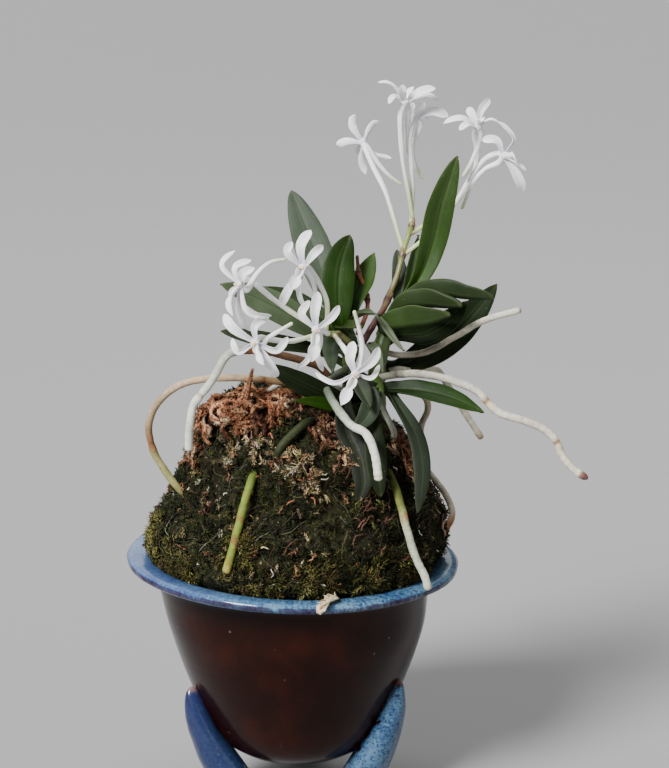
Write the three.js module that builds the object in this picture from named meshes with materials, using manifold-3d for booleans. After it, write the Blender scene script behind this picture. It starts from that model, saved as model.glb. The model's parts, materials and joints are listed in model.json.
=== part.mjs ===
// Wind orchid (Vanda falcata) on a dome of moss in a glazed pot with three feet.
//
// Millimetres, +Z up, front towards -Y. The plant is laid out around the pot's axis, with z = 0 under
// the feet. At the end the whole group is moved sideways, so that the origin is the middle of the
// bottom of its box.
//
// Every piece is made twice: at its true size, and grown by CLEARANCE. A later piece is cut by the
// grown shapes of the earlier ones, so pieces that touch in life stand CLEARANCE apart.

import * as THREE from "three";
import { mergeVertices } from "three/addons/utils/BufferGeometryUtils.js";
import Module from "manifold-3d";

const wasm = await Module();
wasm.setup();

// ---------------------------------------------------------------- driving dimensions

const CLEARANCE = 0.35;
const POT_SEGMENTS = 32;
const RIM_RADIUS = 54;
const RIM_TOP = 78.6;
const THROAT_RADIUS = 41; // inside of the pot just under the lip
const FLOOR_TOP = 16; // inside of the pot's bottom
const UNDERSIDE = 11.5; // from the ground to the flat underside of the bowl
const DRAIN_RADIUS = 9;
const LIP_TILT = 0.03; // the hand-thrown lip rises this much for each millimetre to the left
const BODY_SHIFT = 1.3; // and the body sits this far to the right of it

const LEAF_THICKNESS = 1.5;
const TEPAL_THICKNESS = 1.1;
const COLUMN_RADIUS = 1.6;
const SPUR_RADIUS = 0.85;
const PEDICEL_RADIUS = 0.85;
const MOSS_RELIEF = 1.2; // height of the lumps in the moss

// ---------------------------------------------------------------- finishes

const finish = (color, roughness) => new THREE.MeshStandardMaterial({ color, roughness, metalness: 0 });

const GLAZE = finish(0x3a5f92, 0.25);
const MOSS = finish(0x2c2f1a, 0.95);
const DRY_MOSS = finish(0x8a5a3a, 0.9);
const PALE_MOSS = finish(0xcbb68f, 0.9);
const STEM_GREEN = finish(0x3c5a26, 0.5);
const STALK_GREEN = finish(0x8b9a55, 0.5);
const PETAL_WHITE = finish(0xf4f3f0, 0.55);
const LEAF_MID = finish(0x33551c, 0.4);
const LEAF_BRIGHT = finish(0x4c7a22, 0.4);
const LEAF_DARK = finish(0x22351f, 0.4);
const LEAF_GREY = finish(0x6b7d63, 0.5);
const ROOT_TAN = finish(0xa38463, 0.7);
const ROOT_WHITE = finish(0xd3cfc0, 0.75);
const ROOT_GREEN = finish(0x7c8a33, 0.5);

// ---------------------------------------------------------------- small helpers

const { clamp, degToRad: radians, lerp: mix, smoothstep } = THREE.MathUtils;
const vec = ([x, y, z]) => new THREE.Vector3(x, y, z);
const shifted = (point, [x, y, z]) => point.clone().add(new THREE.Vector3(x, y, z));

/** A repeatable source of numbers from 0 to 1. */
function seeded(seed) {
  let state = seed;
  return () => {
    state = (state * 1664525 + 1013904223) % 4294967296;
    return state / 4294967296;
  };
}

/** Value at u of the broken line through pairs [u, value]. */
function along(pairs, u) {
  let i = 1;
  while (i < pairs.length - 1 && u > pairs[i][0]) i++;
  const [u0, a] = pairs[i - 1];
  const [u1, b] = pairs[i];
  return mix(a, b, clamp((u - u0) / (u1 - u0), 0, 1));
}

/** A sum of narrow bumps of one height at the given places. */
const bumps = (places, height, width, u) =>
  places.reduce((sum, at) => sum + height * Math.exp(-(((u - at) / width) ** 2)), 0);

/** A smooth curve through points. */
const through = (points) => new THREE.CatmullRomCurve3(points, false, "centripetal");

// ---------------------------------------------------------------- solids

function solidOf(geometry) {
  geometry.deleteAttribute("normal");
  geometry.deleteAttribute("uv");
  const welded = mergeVertices(geometry, 1e-4);
  return new wasm.Manifold(new wasm.Mesh({
    numProp: 3,
    vertProperties: Float32Array.from(welded.attributes.position.array),
    triVerts: Uint32Array.from(welded.index.array),
  }));
}

/** Closes rings of points into a solid. Each ring turns anticlockwise, seen from the end. Quads from
 *  number flipAt in the ring on are split along their other diagonal, so that both faces of a thin
 *  blade are split alike. */
function skin(rings, flipAt = Infinity) {
  const sides = rings[0].length;
  const faces = [];
  for (let i = 0; i + 1 < rings.length; i++) {
    for (let j = 0; j < sides; j++) {
      const a = i * sides + j;
      const b = i * sides + (j + 1) % sides;
      const c = a + sides;
      const d = b + sides;
      if (j < flipAt) faces.push(a, b, d, a, d, c);
      else faces.push(a, b, c, b, d, c);
    }
  }
  const last = (rings.length - 1) * sides;
  for (let j = 1; j + 1 < sides; j++) {
    faces.push(0, j + 1, j, last, last + j, last + j + 1);
  }
  const geometry = new THREE.BufferGeometry().setFromPoints(rings.flat());
  geometry.setIndex(faces);
  return solidOf(geometry);
}

/** A round tube along a curve. radiusAt(u) is its radius from the start, 0, to the end, 1. A blunt
 *  tube ends in a short bevel. */
function tube(curve, radiusAt, { sides = 6, steps = 12, blunt = false, grow = 0 }) {
  const frames = curve.computeFrenetFrames(steps, false);
  const ring = (u, i, radius, lengthen) => {
    const centre = curve.getPointAt(u).addScaledVector(frames.tangents[i], lengthen);
    return Array.from({ length: sides }, (_, j) => {
      const angle = 2 * Math.PI * j / sides;
      return centre.clone()
        .addScaledVector(frames.normals[i], radius * Math.cos(angle))
        .addScaledVector(frames.binormals[i], radius * Math.sin(angle));
    });
  };
  const rings = [ring(0, 0, radiusAt(0) + grow, -grow)];
  for (let i = 1; i < steps; i++) rings.push(ring(i / steps, i, radiusAt(i / steps) + grow, 0));
  const end = radiusAt(1);
  if (blunt) rings.push(ring(1 - 0.7 * end / curve.getLength(), steps, end + grow, 0));
  rings.push(ring(1, steps, (blunt ? 0.6 * end : end) + grow, grow));
  return skin(rings);
}

/** A thin folded blade, such as a leaf or a petal, along a curve. face is the way its upper side
 *  looks, and turns to faceEnd by the tip. halfWidth, fold (radians that each half is lifted) and
 *  thickness are functions of u. A blade has 2 facets across, or 4 where it is broad. */
function blade(curve, { face, faceEnd = face, halfWidth, fold, thickness, steps = 8, broad = false, grow = 0 }) {
  const stations = broad ? [-1, -0.5, 0, 0.5, 1] : [-1, 0, 1];
  const squareEdges = broad || grow > 0;
  const rings = [];
  for (let i = 0; i <= steps; i++) {
    const u = i / steps;
    const ahead = curve.getTangentAt(u);
    const side = ahead.clone().cross(face.clone().lerp(faceEnd, u)).normalize();
    const up = side.clone().cross(ahead).normalize();
    const lengthen = i === 0 ? -grow : i === steps ? grow : 0;
    const centre = curve.getPointAt(u).addScaledVector(ahead, lengthen);
    const half = halfWidth(u) + grow;
    const lift = fold(u);
    const slant = 1 / Math.cos(lift); // a lifted half is thicker measured upwards
    const thick = 0.5 * thickness(u) * Math.min(slant, 1.8);
    const at = (s, sign) => {
      const atEdge = Math.abs(s) === 1;
      const depth = (atEdge ? (broad ? 0.3 * thick : 0) : thick * (1 - 0.25 * s * s)) + grow * slant;
      return centre.clone()
        .addScaledVector(side, half * Math.cos(lift) * s)
        .addScaledVector(up, half * Math.sin(lift) * Math.abs(s) + sign * depth);
    };
    // The ring runs along the upper side from left to right, then back along the lower side.
    const upper = stations.map((s) => at(s, 1));
    const lower = stations.map((s) => at(s, -1)).reverse();
    rings.push(squareEdges ? [...upper, ...lower] : [...upper, lower[1]]);
  }
  return skin(rings, stations.length - (squareEdges ? 0 : 1));
}

const joined = (solids) => solids.reduce((whole, piece) => whole.add(piece));

/** The largest separate body of a solid. */
function largest(solid) {
  return solid.decompose().sort((a, b) => b.volume() - a.volume())[0];
}

// ---------------------------------------------------------------- placing pieces

const group = new THREE.Group();
const placed = [];

const boxesMeet = (a, b) => [0, 1, 2].every((k) => a.min[k] < b.max[k] && b.min[k] < a.max[k]);

function show(name, solid, material) {
  const mesh = solid.getMesh();
  const geometry = new THREE.BufferGeometry();
  geometry.setAttribute("position", new THREE.Float32BufferAttribute(mesh.vertProperties, 3));
  geometry.setIndex(Array.from(mesh.triVerts));
  geometry.computeVertexNormals();
  const node = new THREE.Mesh(geometry, material);
  node.name = name;
  group.add(node);
}

/** Puts a piece in the model. make(grow) builds it, grown by that many millimetres. It is cut clear
 *  of the pieces placed before it, and its largest body is kept. */
function place(name, material, make) {
  const grown = make(CLEARANCE);
  const box = grown.boundingBox();
  const neighbours = placed.filter((other) => boxesMeet(other.box, box));
  const cut = neighbours.reduce((solid, other) => solid.subtract(other.grown), make(0));
  show(name, largest(cut), material);
  placed.push({ grown, box });
}

// ---------------------------------------------------------------- pot

/** Outside of the bowl, from its underside up to the lip, over the lip, and down the inside to the
 *  floor, as [radius, height]. The drain hole is in the middle. */
const BOWL = [
  [DRAIN_RADIUS, UNDERSIDE], [15.5, UNDERSIDE], [20.4, 13.6], [24.6, 16.4], [28.4, 21.2], [31.6, 27.4], [35.4, 36.4],
  [39, 46], [42.2, 57], [44, 68], [45.4, 73], [49, 75], [52.6, 75.4], [RIM_RADIUS, 76.7], [53.3, 78.2],
  [51, RIM_TOP], [46.4, 78.2], [43, 76.2], [THROAT_RADIUS, 72.4],
];
const BOWL_INSIDE = [[37, 52], [29.6, 31], [19.5, 17.8], [DRAIN_RADIUS, FLOOR_TOP]];

/** A foot, from the ground to its point: [height, inner radius, outer radius, half width]. */
const FOOT_RINGS = [
  [0, 16, 28.5, 7], [5, 17, 31, 8], [11, 20, 34, 8], [18, 24, 36.6, 7], [26, 29, 38.6, 5.6],
  [33, 32, 39.6, 3.8], [38, 34, 39.2, 2], [41.5, 36, 38.2, 0.6],
];

/** The three feet lean a little: [azimuth at the ground, azimuth of the point, height of the point]. */
const FEET = [[210, 203, 38], [328, 333, 41.5], [88, 86, 41.5]];

/** The pot was thrown by hand: its lip is a little out of level, and its body sits a little to the
 *  right of it. The moss follows it, and is even again well above the lip. */
function handThrown(point) {
  const lip = smoothstep(point.z, 52, RIM_TOP);
  const above = smoothstep(point.z, RIM_TOP + 2, RIM_TOP + 20);
  return new THREE.Vector3(
    point.x + BODY_SHIFT * (1 - lip),
    point.y,
    point.z - LIP_TILT * point.x * lip * (1 - above),
  );
}

function foot([ground, point, tall], grow) {
  const top = FOOT_RINGS.length - 1;
  return skin(FOOT_RINGS.map(([z, inner, outer, half], i) => {
    const share = z / FOOT_RINGS[top][0];
    const azimuth = radians(mix(ground, point, share));
    const out = new THREE.Vector3(Math.cos(azimuth), Math.sin(azimuth), 0);
    const sideways = new THREE.Vector3(-Math.sin(azimuth), Math.cos(azimuth), 0);
    const height = share * tall + (i === top ? grow : i === 0 ? -grow : 0);
    const wide = half + grow;
    const front = outer + grow;
    const at = (radius, offset) => handThrown(
      out.clone().multiplyScalar(radius).addScaledVector(sideways, offset).setZ(height));
    return [
      at(inner, -wide * 0.7), at(mix(inner, front, 0.7), -wide), at(front - 0.25 * half, -wide * 0.6),
      at(front, 0), at(front - 0.25 * half, wide * 0.6), at(mix(inner, front, 0.7), wide), at(inner, wide * 0.7),
    ];
  }));
}

function pot(grow) {
  const corners = [...BOWL, ...BOWL_INSIDE].map(([r, z]) => new THREE.Vector2(r, z));
  const grown = corners.map((corner, i) => {
    const before = corners[(i + corners.length - 1) % corners.length];
    const after = corners[(i + 1) % corners.length];
    const run = after.clone().sub(before).normalize();
    return new THREE.Vector2(corner.x + run.y * grow, corner.y - run.x * grow);
  });
  const lathe = new THREE.LatheGeometry([...grown, grown[0]], POT_SEGMENTS).rotateX(Math.PI / 2);
  const places = lathe.attributes.position;
  for (let i = 0; i < places.count; i++) {
    places.setXYZ(i, ...handThrown(new THREE.Vector3().fromBufferAttribute(places, i)).toArray());
  }
  return joined([solidOf(lathe), ...FEET.map((shape) => foot(shape, grow))]);
}

place("pot", GLAZE, pot);

// ---------------------------------------------------------------- stems and flower stalks

/** A stem's axis, from inside the moss up to its growing tip. */
const stemLeft = through([[18, -2, 122], [19, 0, 142.5], [17.5, -2, 153.5], [16.5, -3, 159.5]].map(vec));
const stemRight = through([[27.5, 1, 120], [27.5, 0, 142.5], [30.5, 2, 153.5], [34.5, 4, 162]].map(vec));
const stemFront = through([[23.5, -9, 120], [24, -9, 134], [26, -13.5, 139], [28, -19.5, 137]].map(vec));

const stemRadius = (u) => along([[0, 2.4], [0.3, 3.1], [0.75, 2.7], [1, 1.4]], u);

for (const [name, axis] of [["stem_left", stemLeft], ["stem_right", stemRight], ["stem_front", stemFront]]) {
  place(name, STEM_GREEN, (grow) => tube(axis, stemRadius, { sides: 7, steps: 8, grow }));
}

const stalkLow = through([[20.5, -3, 147.5], [15.5, -12, 154], [12, -20, 156.5], [9.5, -26, 158.5]].map(vec));
const stalkHigh = through([
  [22.5, -1, 149], [27, 4, 155.5], [29.5, 8, 158.5], [31.5, 12, 162.5], [34, 15, 168], [36, 18, 175.5],
  [37.5, 19, 180], [39, 20, 184.5],
].map(vec));

/** A flower stalk swells at its joints, given as places along it. */
function stalk(axis, joints, steps, grow) {
  return tube(axis, (u) => mix(1.15, 0.8, u) + bumps(joints, 0.4, 0.04, u), { sides: 6, steps, grow });
}

place("flower_stalk_high", STALK_GREEN, (grow) => stalk(stalkHigh, [0.4, 0.75, 0.97], 13, grow));
place("flower_stalk_low", STALK_GREEN, (grow) => stalk(stalkLow, [0.5, 0.97], 8, grow));

const lastYearsStalk = through([[21, -2, 152], [24, 2, 159], [23.8, 4, 164], [21.4, 6, 170.7], [20.8, 7, 176.1]].map(vec));
place("dry_flower_stalk", DRY_MOSS, (grow) =>
  tube(lastYearsStalk, (u) => mix(0.8, 0.55, u) + bumps([0.45, 0.8], 0.3, 0.05, u), { sides: 5, steps: 10, grow }));

// ---------------------------------------------------------------- blooms

/** A sepal, petal or lip from the side of the column through its bend to its tip. bend and tip are
 *  offsets from the middle of the flower. It narrows at its foot and has a blunt end. */
function tepal(middle, flowerFace, { bend, tip, width, face, cup = 14 }, grow) {
  const outwards = vec(bend).normalize();
  const foot = middle.clone().addScaledVector(outwards, 0.9 * COLUMN_RADIUS - 0.4);
  return blade(through([foot, shifted(middle, bend), shifted(middle, tip)]), {
    face: face ? vec(face).normalize() : flowerFace,
    halfWidth: (u) => 0.5 * width * along([[0, 0.3], [0.3, 0.84], [0.6, 1], [0.85, 0.88], [1, 0.45]], u),
    fold: () => radians(cup),
    thickness: (u) => TEPAL_THICKNESS * mix(1, 0.7, u),
    steps: width < 2.9 ? 3 : 4,
    grow,
  });
}

/**
 * One flower, as one piece: three sepals and two petals, the lip, the column, the hollow spur behind
 * the lip, and the flower's own stalk. Offsets are millimetres from the middle of the flower.
 * facing is the way its face looks; seat is the point on the flower stalk where it grows.
 */
function bloom({ centre, facing, tepals, lip, spur, pedicel, seat }, grow) {
  const middle = vec(centre);
  const flowerFace = vec(facing).normalize();
  const column = new THREE.SphereGeometry(COLUMN_RADIUS + grow, 5, 3);
  column.translate(...middle.clone().addScaledVector(flowerFace, 0.5).toArray());
  const spurPath = through([middle, ...spur.map((offset) => shifted(middle, offset))]);
  const stalkPath = through([middle, ...pedicel.map((offset) => shifted(middle, offset)), seat]);
  const spurRadius = (u) => SPUR_RADIUS * along([[0, 1.2], [0.3, 1.05], [1, 0.6]], u);
  const stalkRadius = (u) => PEDICEL_RADIUS * mix(1.05, 0.8, u);
  return joined([
    solidOf(column),
    ...tepals.map((shape) => tepal(middle, flowerFace, shape, grow)),
    tepal(middle.clone().addScaledVector(flowerFace, 0.6), flowerFace, { cup: 24, ...lip }, grow),
    tube(spurPath, spurRadius, { sides: 5, steps: 5, grow }),
    tube(stalkPath, stalkRadius, { sides: 5, steps: 6, grow }),
  ]);
}

const BLOOMS = {
  bloom_low_1: {
    centre: [-15.1, -38, 175.7], facing: [-0.72, -0.66, 0.1], seat: stalkLow.getPointAt(0.98),
    tepals: [
      { bend: [-5.5, 3, 5.6], tip: [-2.2, 5, 9.9], width: 3.1, face: [-0.3, -0.9, 0.2] },
      { bend: [-1.4, 1, 5.1], tip: [2.9, 3, 7.2], width: 3.5, face: [-0.4, -0.9, 0.2] },
      { bend: [0.9, -4.5, 4.4], tip: [4, -6, 6.6], width: 3.1 },
      { bend: [-0.3, 2, -8.4], tip: [2.2, 5, -15.8], width: 3.9, face: [-0.2, -1, 0] },
      { bend: [2.2, -3.5, -7.2], tip: [8.8, -3, -9.6], width: 2.7, face: [-0.5, -0.8, -0.3] },
    ],
    lip: { bend: [-2.8, -2, -4.5], tip: [-2, -3.5, -8.8], width: 2.8 },
    spur: [[1.8, 1, -1.6], [5.4, 2, 3.4], [9, 4, 6.1], [13.9, 6, 6.8]],
    pedicel: [[1.4, 3, 1.2], [3.8, 5, -0.4], [10, 10, -6.6], [19, 12, -13.6]],
  },
  bloom_low_2: {
    centre: [4, -30, 179.3], facing: [-0.25, -0.95, 0.1], seat: stalkLow.getPointAt(0.86),
    tepals: [
      { bend: [-0.6, -1, 7.1], tip: [2.1, 2, 11.4], width: 3.9 },
      { bend: [-4.8, -2, 5.6], tip: [-3.6, 0, 8.2], width: 2.9 },
      { bend: [3.4, -2, 5], tip: [6, 0, 7], width: 3.1 },
      { bend: [-3.9, -0.5, -5.6], tip: [-7.2, 2, -12.3], width: 3.4 },
      { bend: [-1.4, 1, -6.7], tip: [-0.1, 3, -12.9], width: 2.1 },
    ],
    lip: { bend: [-1.8, -3, -2.6], tip: [-3.6, -4, -5.8], width: 3.9 },
    spur: [[1.8, 2.4, -2.2], [3.3, 3.6, -6.1], [3.8, 3.6, -9.6], [2.4, 2.6, -11.8]],
    pedicel: [[1.4, 3.6, -0.4], [4.4, 6, -5.2], [7.2, 8, -12]],
  },
  bloom_low_3: {
    centre: [-10.3, -42, 158.6], facing: [-0.15, -0.96, -0.1], seat: stalkLow.getPointAt(0.92),
    tepals: [
      { bend: [-6.9, -1, 4.9], tip: [-9.9, 1, 8.4], width: 3.6 },
      { bend: [-0.3, 0, 5.3], tip: [4, 3, 7.8], width: 3.3 },
      { bend: [-5.4, -2, -2.3], tip: [-7.4, -1, 1.4], width: 2.4 },
      { bend: [6.1, 0, -2.3], tip: [9.6, 2, 1], width: 2.8 },
      { bend: [3.4, -1, -5.1], tip: [6.4, 1, -11.2], width: 3.6 },
    ],
    lip: { bend: [1.2, -2.4, -3.4], tip: [2.6, -3.6, -6], width: 2.8 },
    spur: [[1.2, 2.2, -1.9], [3.6, 3.6, 0.6], [6.9, 4.4, 2.6], [11.2, 4.6, 5.2]],
    pedicel: [[1, 3.4, 0.8], [4.6, 8, -0.9], [11, 13, -2.4]],
  },
  bloom_low_4: {
    centre: [7.9, -36, 161.2], facing: [0.02, -1, -0.06], seat: stalkLow.getPointAt(0.8),
    tepals: [
      { bend: [-0.3, -1, 6.5], tip: [0.8, 1, 11.5], width: 3.9 },
      { bend: [-4.3, -1, 5.5], tip: [-2, 1, 8.8], width: 2.9 },
      { bend: [4.6, -1.4, 4.2], tip: [7.2, 0, 7.4], width: 3 },
      { bend: [-2.2, 0.5, -8.8], tip: [-5.9, 2.4, -12.9], width: 2 },
      { bend: [0.6, 1, -8.8], tip: [2.2, 3.4, -14.2], width: 2 },
    ],
    lip: { bend: [-0.5, -2, -4.6], tip: [-1.2, -3, -9.2], width: 4.2 },
    spur: [[0.8, 3.4, -1.2], [1.5, 7, -4.6], [0.8, 9, -8.6], [-1, 9, -11]],
    pedicel: [[1.8, 3, -0.6], [3.4, 7, -2.6]],
  },
  bloom_low_5: {
    centre: [19.8, -46, 149.8], facing: [0.05, -0.97, -0.16], seat: stalkLow.getPointAt(0.66),
    tepals: [
      { bend: [-1.5, -1, 5.2], tip: [-0.4, 1, 9.6], width: 3.7 },
      { bend: [4.8, -1, 4], tip: [7.4, 1, 7.7], width: 3.7 },
      { bend: [-6.1, -2, -2.2], tip: [-12, 0, 0], width: 2 },
      { bend: [4.9, 0.5, -1.3], tip: [7.6, 2.6, 2], width: 1.9 },
      { bend: [-1.6, 2, -4.9], tip: [-3.4, 4, -8.9], width: 2.4 },
    ],
    lip: { bend: [-2.2, -2, -4.6], tip: [-4.2, -3, -8.9], width: 3.9 },
    spur: [[1.2, 1.2, 2.6], [2.2, 1.6, 8], [1.2, 0.8, 14.3], [-0.3, -0.4, 19.8]],
    pedicel: [[-0.4, 3.4, 1.6], [-2.6, 9, 5], [-4.6, 17, 6]],
  },
  bloom_high_1: {
    centre: [22.9, 35, 207.8], facing: [-0.35, 0.86, 0.36], seat: stalkHigh.getPointAt(0.78),
    tepals: [
      { bend: [-5.2, 0.4, 0.5], tip: [-8.8, 0, -0.7], width: 3.3, face: [-0.1, 1, -0.3] },
      { bend: [-3.3, 0.6, 5.4], tip: [-3, 2, 9.5], width: 3.3 },
      { bend: [2.3, 1, 4.6], tip: [4.9, 3, 7], width: 3 },
      { bend: [-0.3, 1.4, -5.9], tip: [0.7, 2.6, -10.4], width: 3 },
      { bend: [4.3, 0, -4], tip: [9.2, 1, -5], width: 2 },
    ],
    lip: { bend: [-2.2, 3.2, -2.4], tip: [-3.8, 4.6, -5], width: 3.2 },
    spur: [[1.8, -1.2, -2], [4.9, -2.2, -6.3], [8.8, -2.4, -10.6], [12.7, -1.8, -13.6]],
    pedicel: [[0.8, -1.4, -1.6], [3.2, -4.4, -7], [7.4, -9, -15.1]],
  },
  bloom_high_2: {
    centre: [36.2, 20, 222.7], facing: [0.05, -0.25, 0.97], seat: stalkHigh.getPointAt(1),
    tepals: [
      { bend: [-3.9, -0.4, 6.2], tip: [-8.6, 0, 7.9], width: 1.9 },
      { bend: [-1, -3, 4], tip: [-0.7, -4.6, 6.8], width: 3.1, face: [0, -1, 0.3] },
      { bend: [-3.6, -3, 2.8], tip: [-5.4, -4.4, 0.9], width: 2.6, face: [-0.3, -0.8, 0.6] },
      { bend: [4.1, -1.6, 3.8], tip: [9.8, -1, 5.5], width: 3.6, face: [0.1, -0.8, 0.6] },
      { bend: [6.1, 2, 2.6], tip: [10.9, 3, 1.2], width: 2.6, face: [0, -0.6, 0.8] },
    ],
    lip: { bend: [1.4, 2, 3], tip: [2.7, 3.6, 4.8], width: 2.8 },
    spur: [[1, 1.6, -2.2], [0.6, 2.6, -9], [0.9, 2.6, -14.8], [2.3, 2.2, -18.3]],
    pedicel: [[-1.2, -0.4, -2.2], [-1.5, -0.6, -7.4], [-0.6, -0.4, -18.1], [1.2, 0, -28]],
  },
  bloom_high_3: {
    centre: [39.6, 26, 217], facing: [0.3, 0.45, 0.84], seat: stalkHigh.getPointAt(0.96),
    tepals: [
      { bend: [5.4, -1.6, 2.7], tip: [10.7, -2.6, 1.5], width: 3.7, face: [0, -0.9, 0.5] },
      { bend: [0.9, 0, 3.4], tip: [3, 0.4, 5.3], width: 3.2, face: [0, -1, 0.1] },
      { bend: [-2.4, 4, 1.9], tip: [-4.6, 7, 1.6], width: 3 },
      { bend: [3.6, 4.6, 1.6], tip: [7, 8, 0.6], width: 3 },
      { bend: [-0.6, 5, 3.4], tip: [-1.6, 8.6, 5.4], width: 2.6 },
    ],
    lip: { bend: [2.2, 2.6, 0.9], tip: [4.2, 5, -0.8], width: 2.8 },
    spur: [[1.7, 0.6, -2], [-0.4, 0.6, -7.5], [-0.4, 0.4, -13.2], [2.6, 0, -19.6]],
    pedicel: [[-0.9, -1.4, -1.8], [-1.8, -3, -6.6], [-1.4, -4, -14.2], [-0.8, -4.4, -22]],
  },
  bloom_high_4: {
    centre: [59.4, 15, 216], facing: [0.02, -0.3, 0.95], seat: stalkHigh.getPointAt(0.9),
    tepals: [
      { bend: [-4.9, -1.2, 2.9], tip: [-11.2, -2, 2], width: 3.2, face: [-0.1, -0.7, 0.7] },
      { bend: [-1.8, 0.6, 3.8], tip: [-3.2, 1.6, 6.2], width: 3.1, face: [0, -1, 0.3] },
      { bend: [0.9, 1, 5.3], tip: [4, 3, 8.8], width: 3.1, face: [0.3, -0.9, 0.2] },
      { bend: [3.5, -0.4, 2.6], tip: [7.2, -0.6, 1.7], width: 1.9 },
      { bend: [-3.4, -3.4, 1.6], tip: [-6.2, -6, 0.2], width: 2.8, face: [0, -0.8, 0.6] },
    ],
    lip: { bend: [0.6, -2.8, 2.6], tip: [1, -5.2, 2.2], width: 2.8 },
    spur: [[0.8, 1, -2.2], [-0.2, 0.8, -6.9], [-2, 0.6, -11.4], [-4.7, 0.8, -16.2]],
    pedicel: [[-0.9, 2.4, -2.4], [0, 4.4, -8.7], [-0.7, 6.6, -15.7], [-5, 8, -24.2], [-12.5, 7, -30.4]],
  },
  bloom_high_5: {
    centre: [67.6, 12, 207.2], facing: [0.9, -0.28, 0.12], seat: stalkHigh.getPointAt(0.74),
    tepals: [
      { bend: [-2.4, 0, 5], tip: [-7, 0, 5.4], width: 3.2, face: [0.2, -0.8, 0.6] },
      { bend: [3, 0.6, 5.6], tip: [-1.6, 1, 10.9], width: 1.8 },
      { bend: [3.4, -0.6, -4.8], tip: [6.6, 0, -11.3], width: 4, face: [0.5, -0.85, 0.2] },
      { bend: [4, -2, -1.9], tip: [7.4, -3, -4.4], width: 2.1 },
      { bend: [2.2, 3.6, -4], tip: [4.2, 6, -8.6], width: 3 },
    ],
    lip: { bend: [2, -2.4, 0.4], tip: [3.4, -4.6, -1], width: 2.8 },
    spur: [[-1.5, 1.2, -2.4], [-5.6, 1.6, -4.4], [-9.7, 1.6, -9], [-13.2, 1.4, -17.4]],
    pedicel: [[-1.6, 2.4, 0.4], [-5.2, 4.4, -1.4], [-9.4, 6, -6.8], [-14, 7.6, -15], [-21, 8, -24.8]],
  },
};

for (const [name, shape] of Object.entries(BLOOMS)) {
  place(name, PETAL_WHITE, (grow) => bloom(shape, grow));
}

// ---------------------------------------------------------------- roots

/** An aerial root: even along its length, slightly swollen at its knuckles, with a rounded tip. */
function root({ points, radius, knuckles = [], steps = 14 }, grow) {
  const radiusAt = (u) => radius * (1 + bumps(knuckles, 0.12, 0.03, u));
  return tube(through(points.map(vec)), radiusAt, { sides: 6, steps, blunt: true, grow });
}

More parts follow.
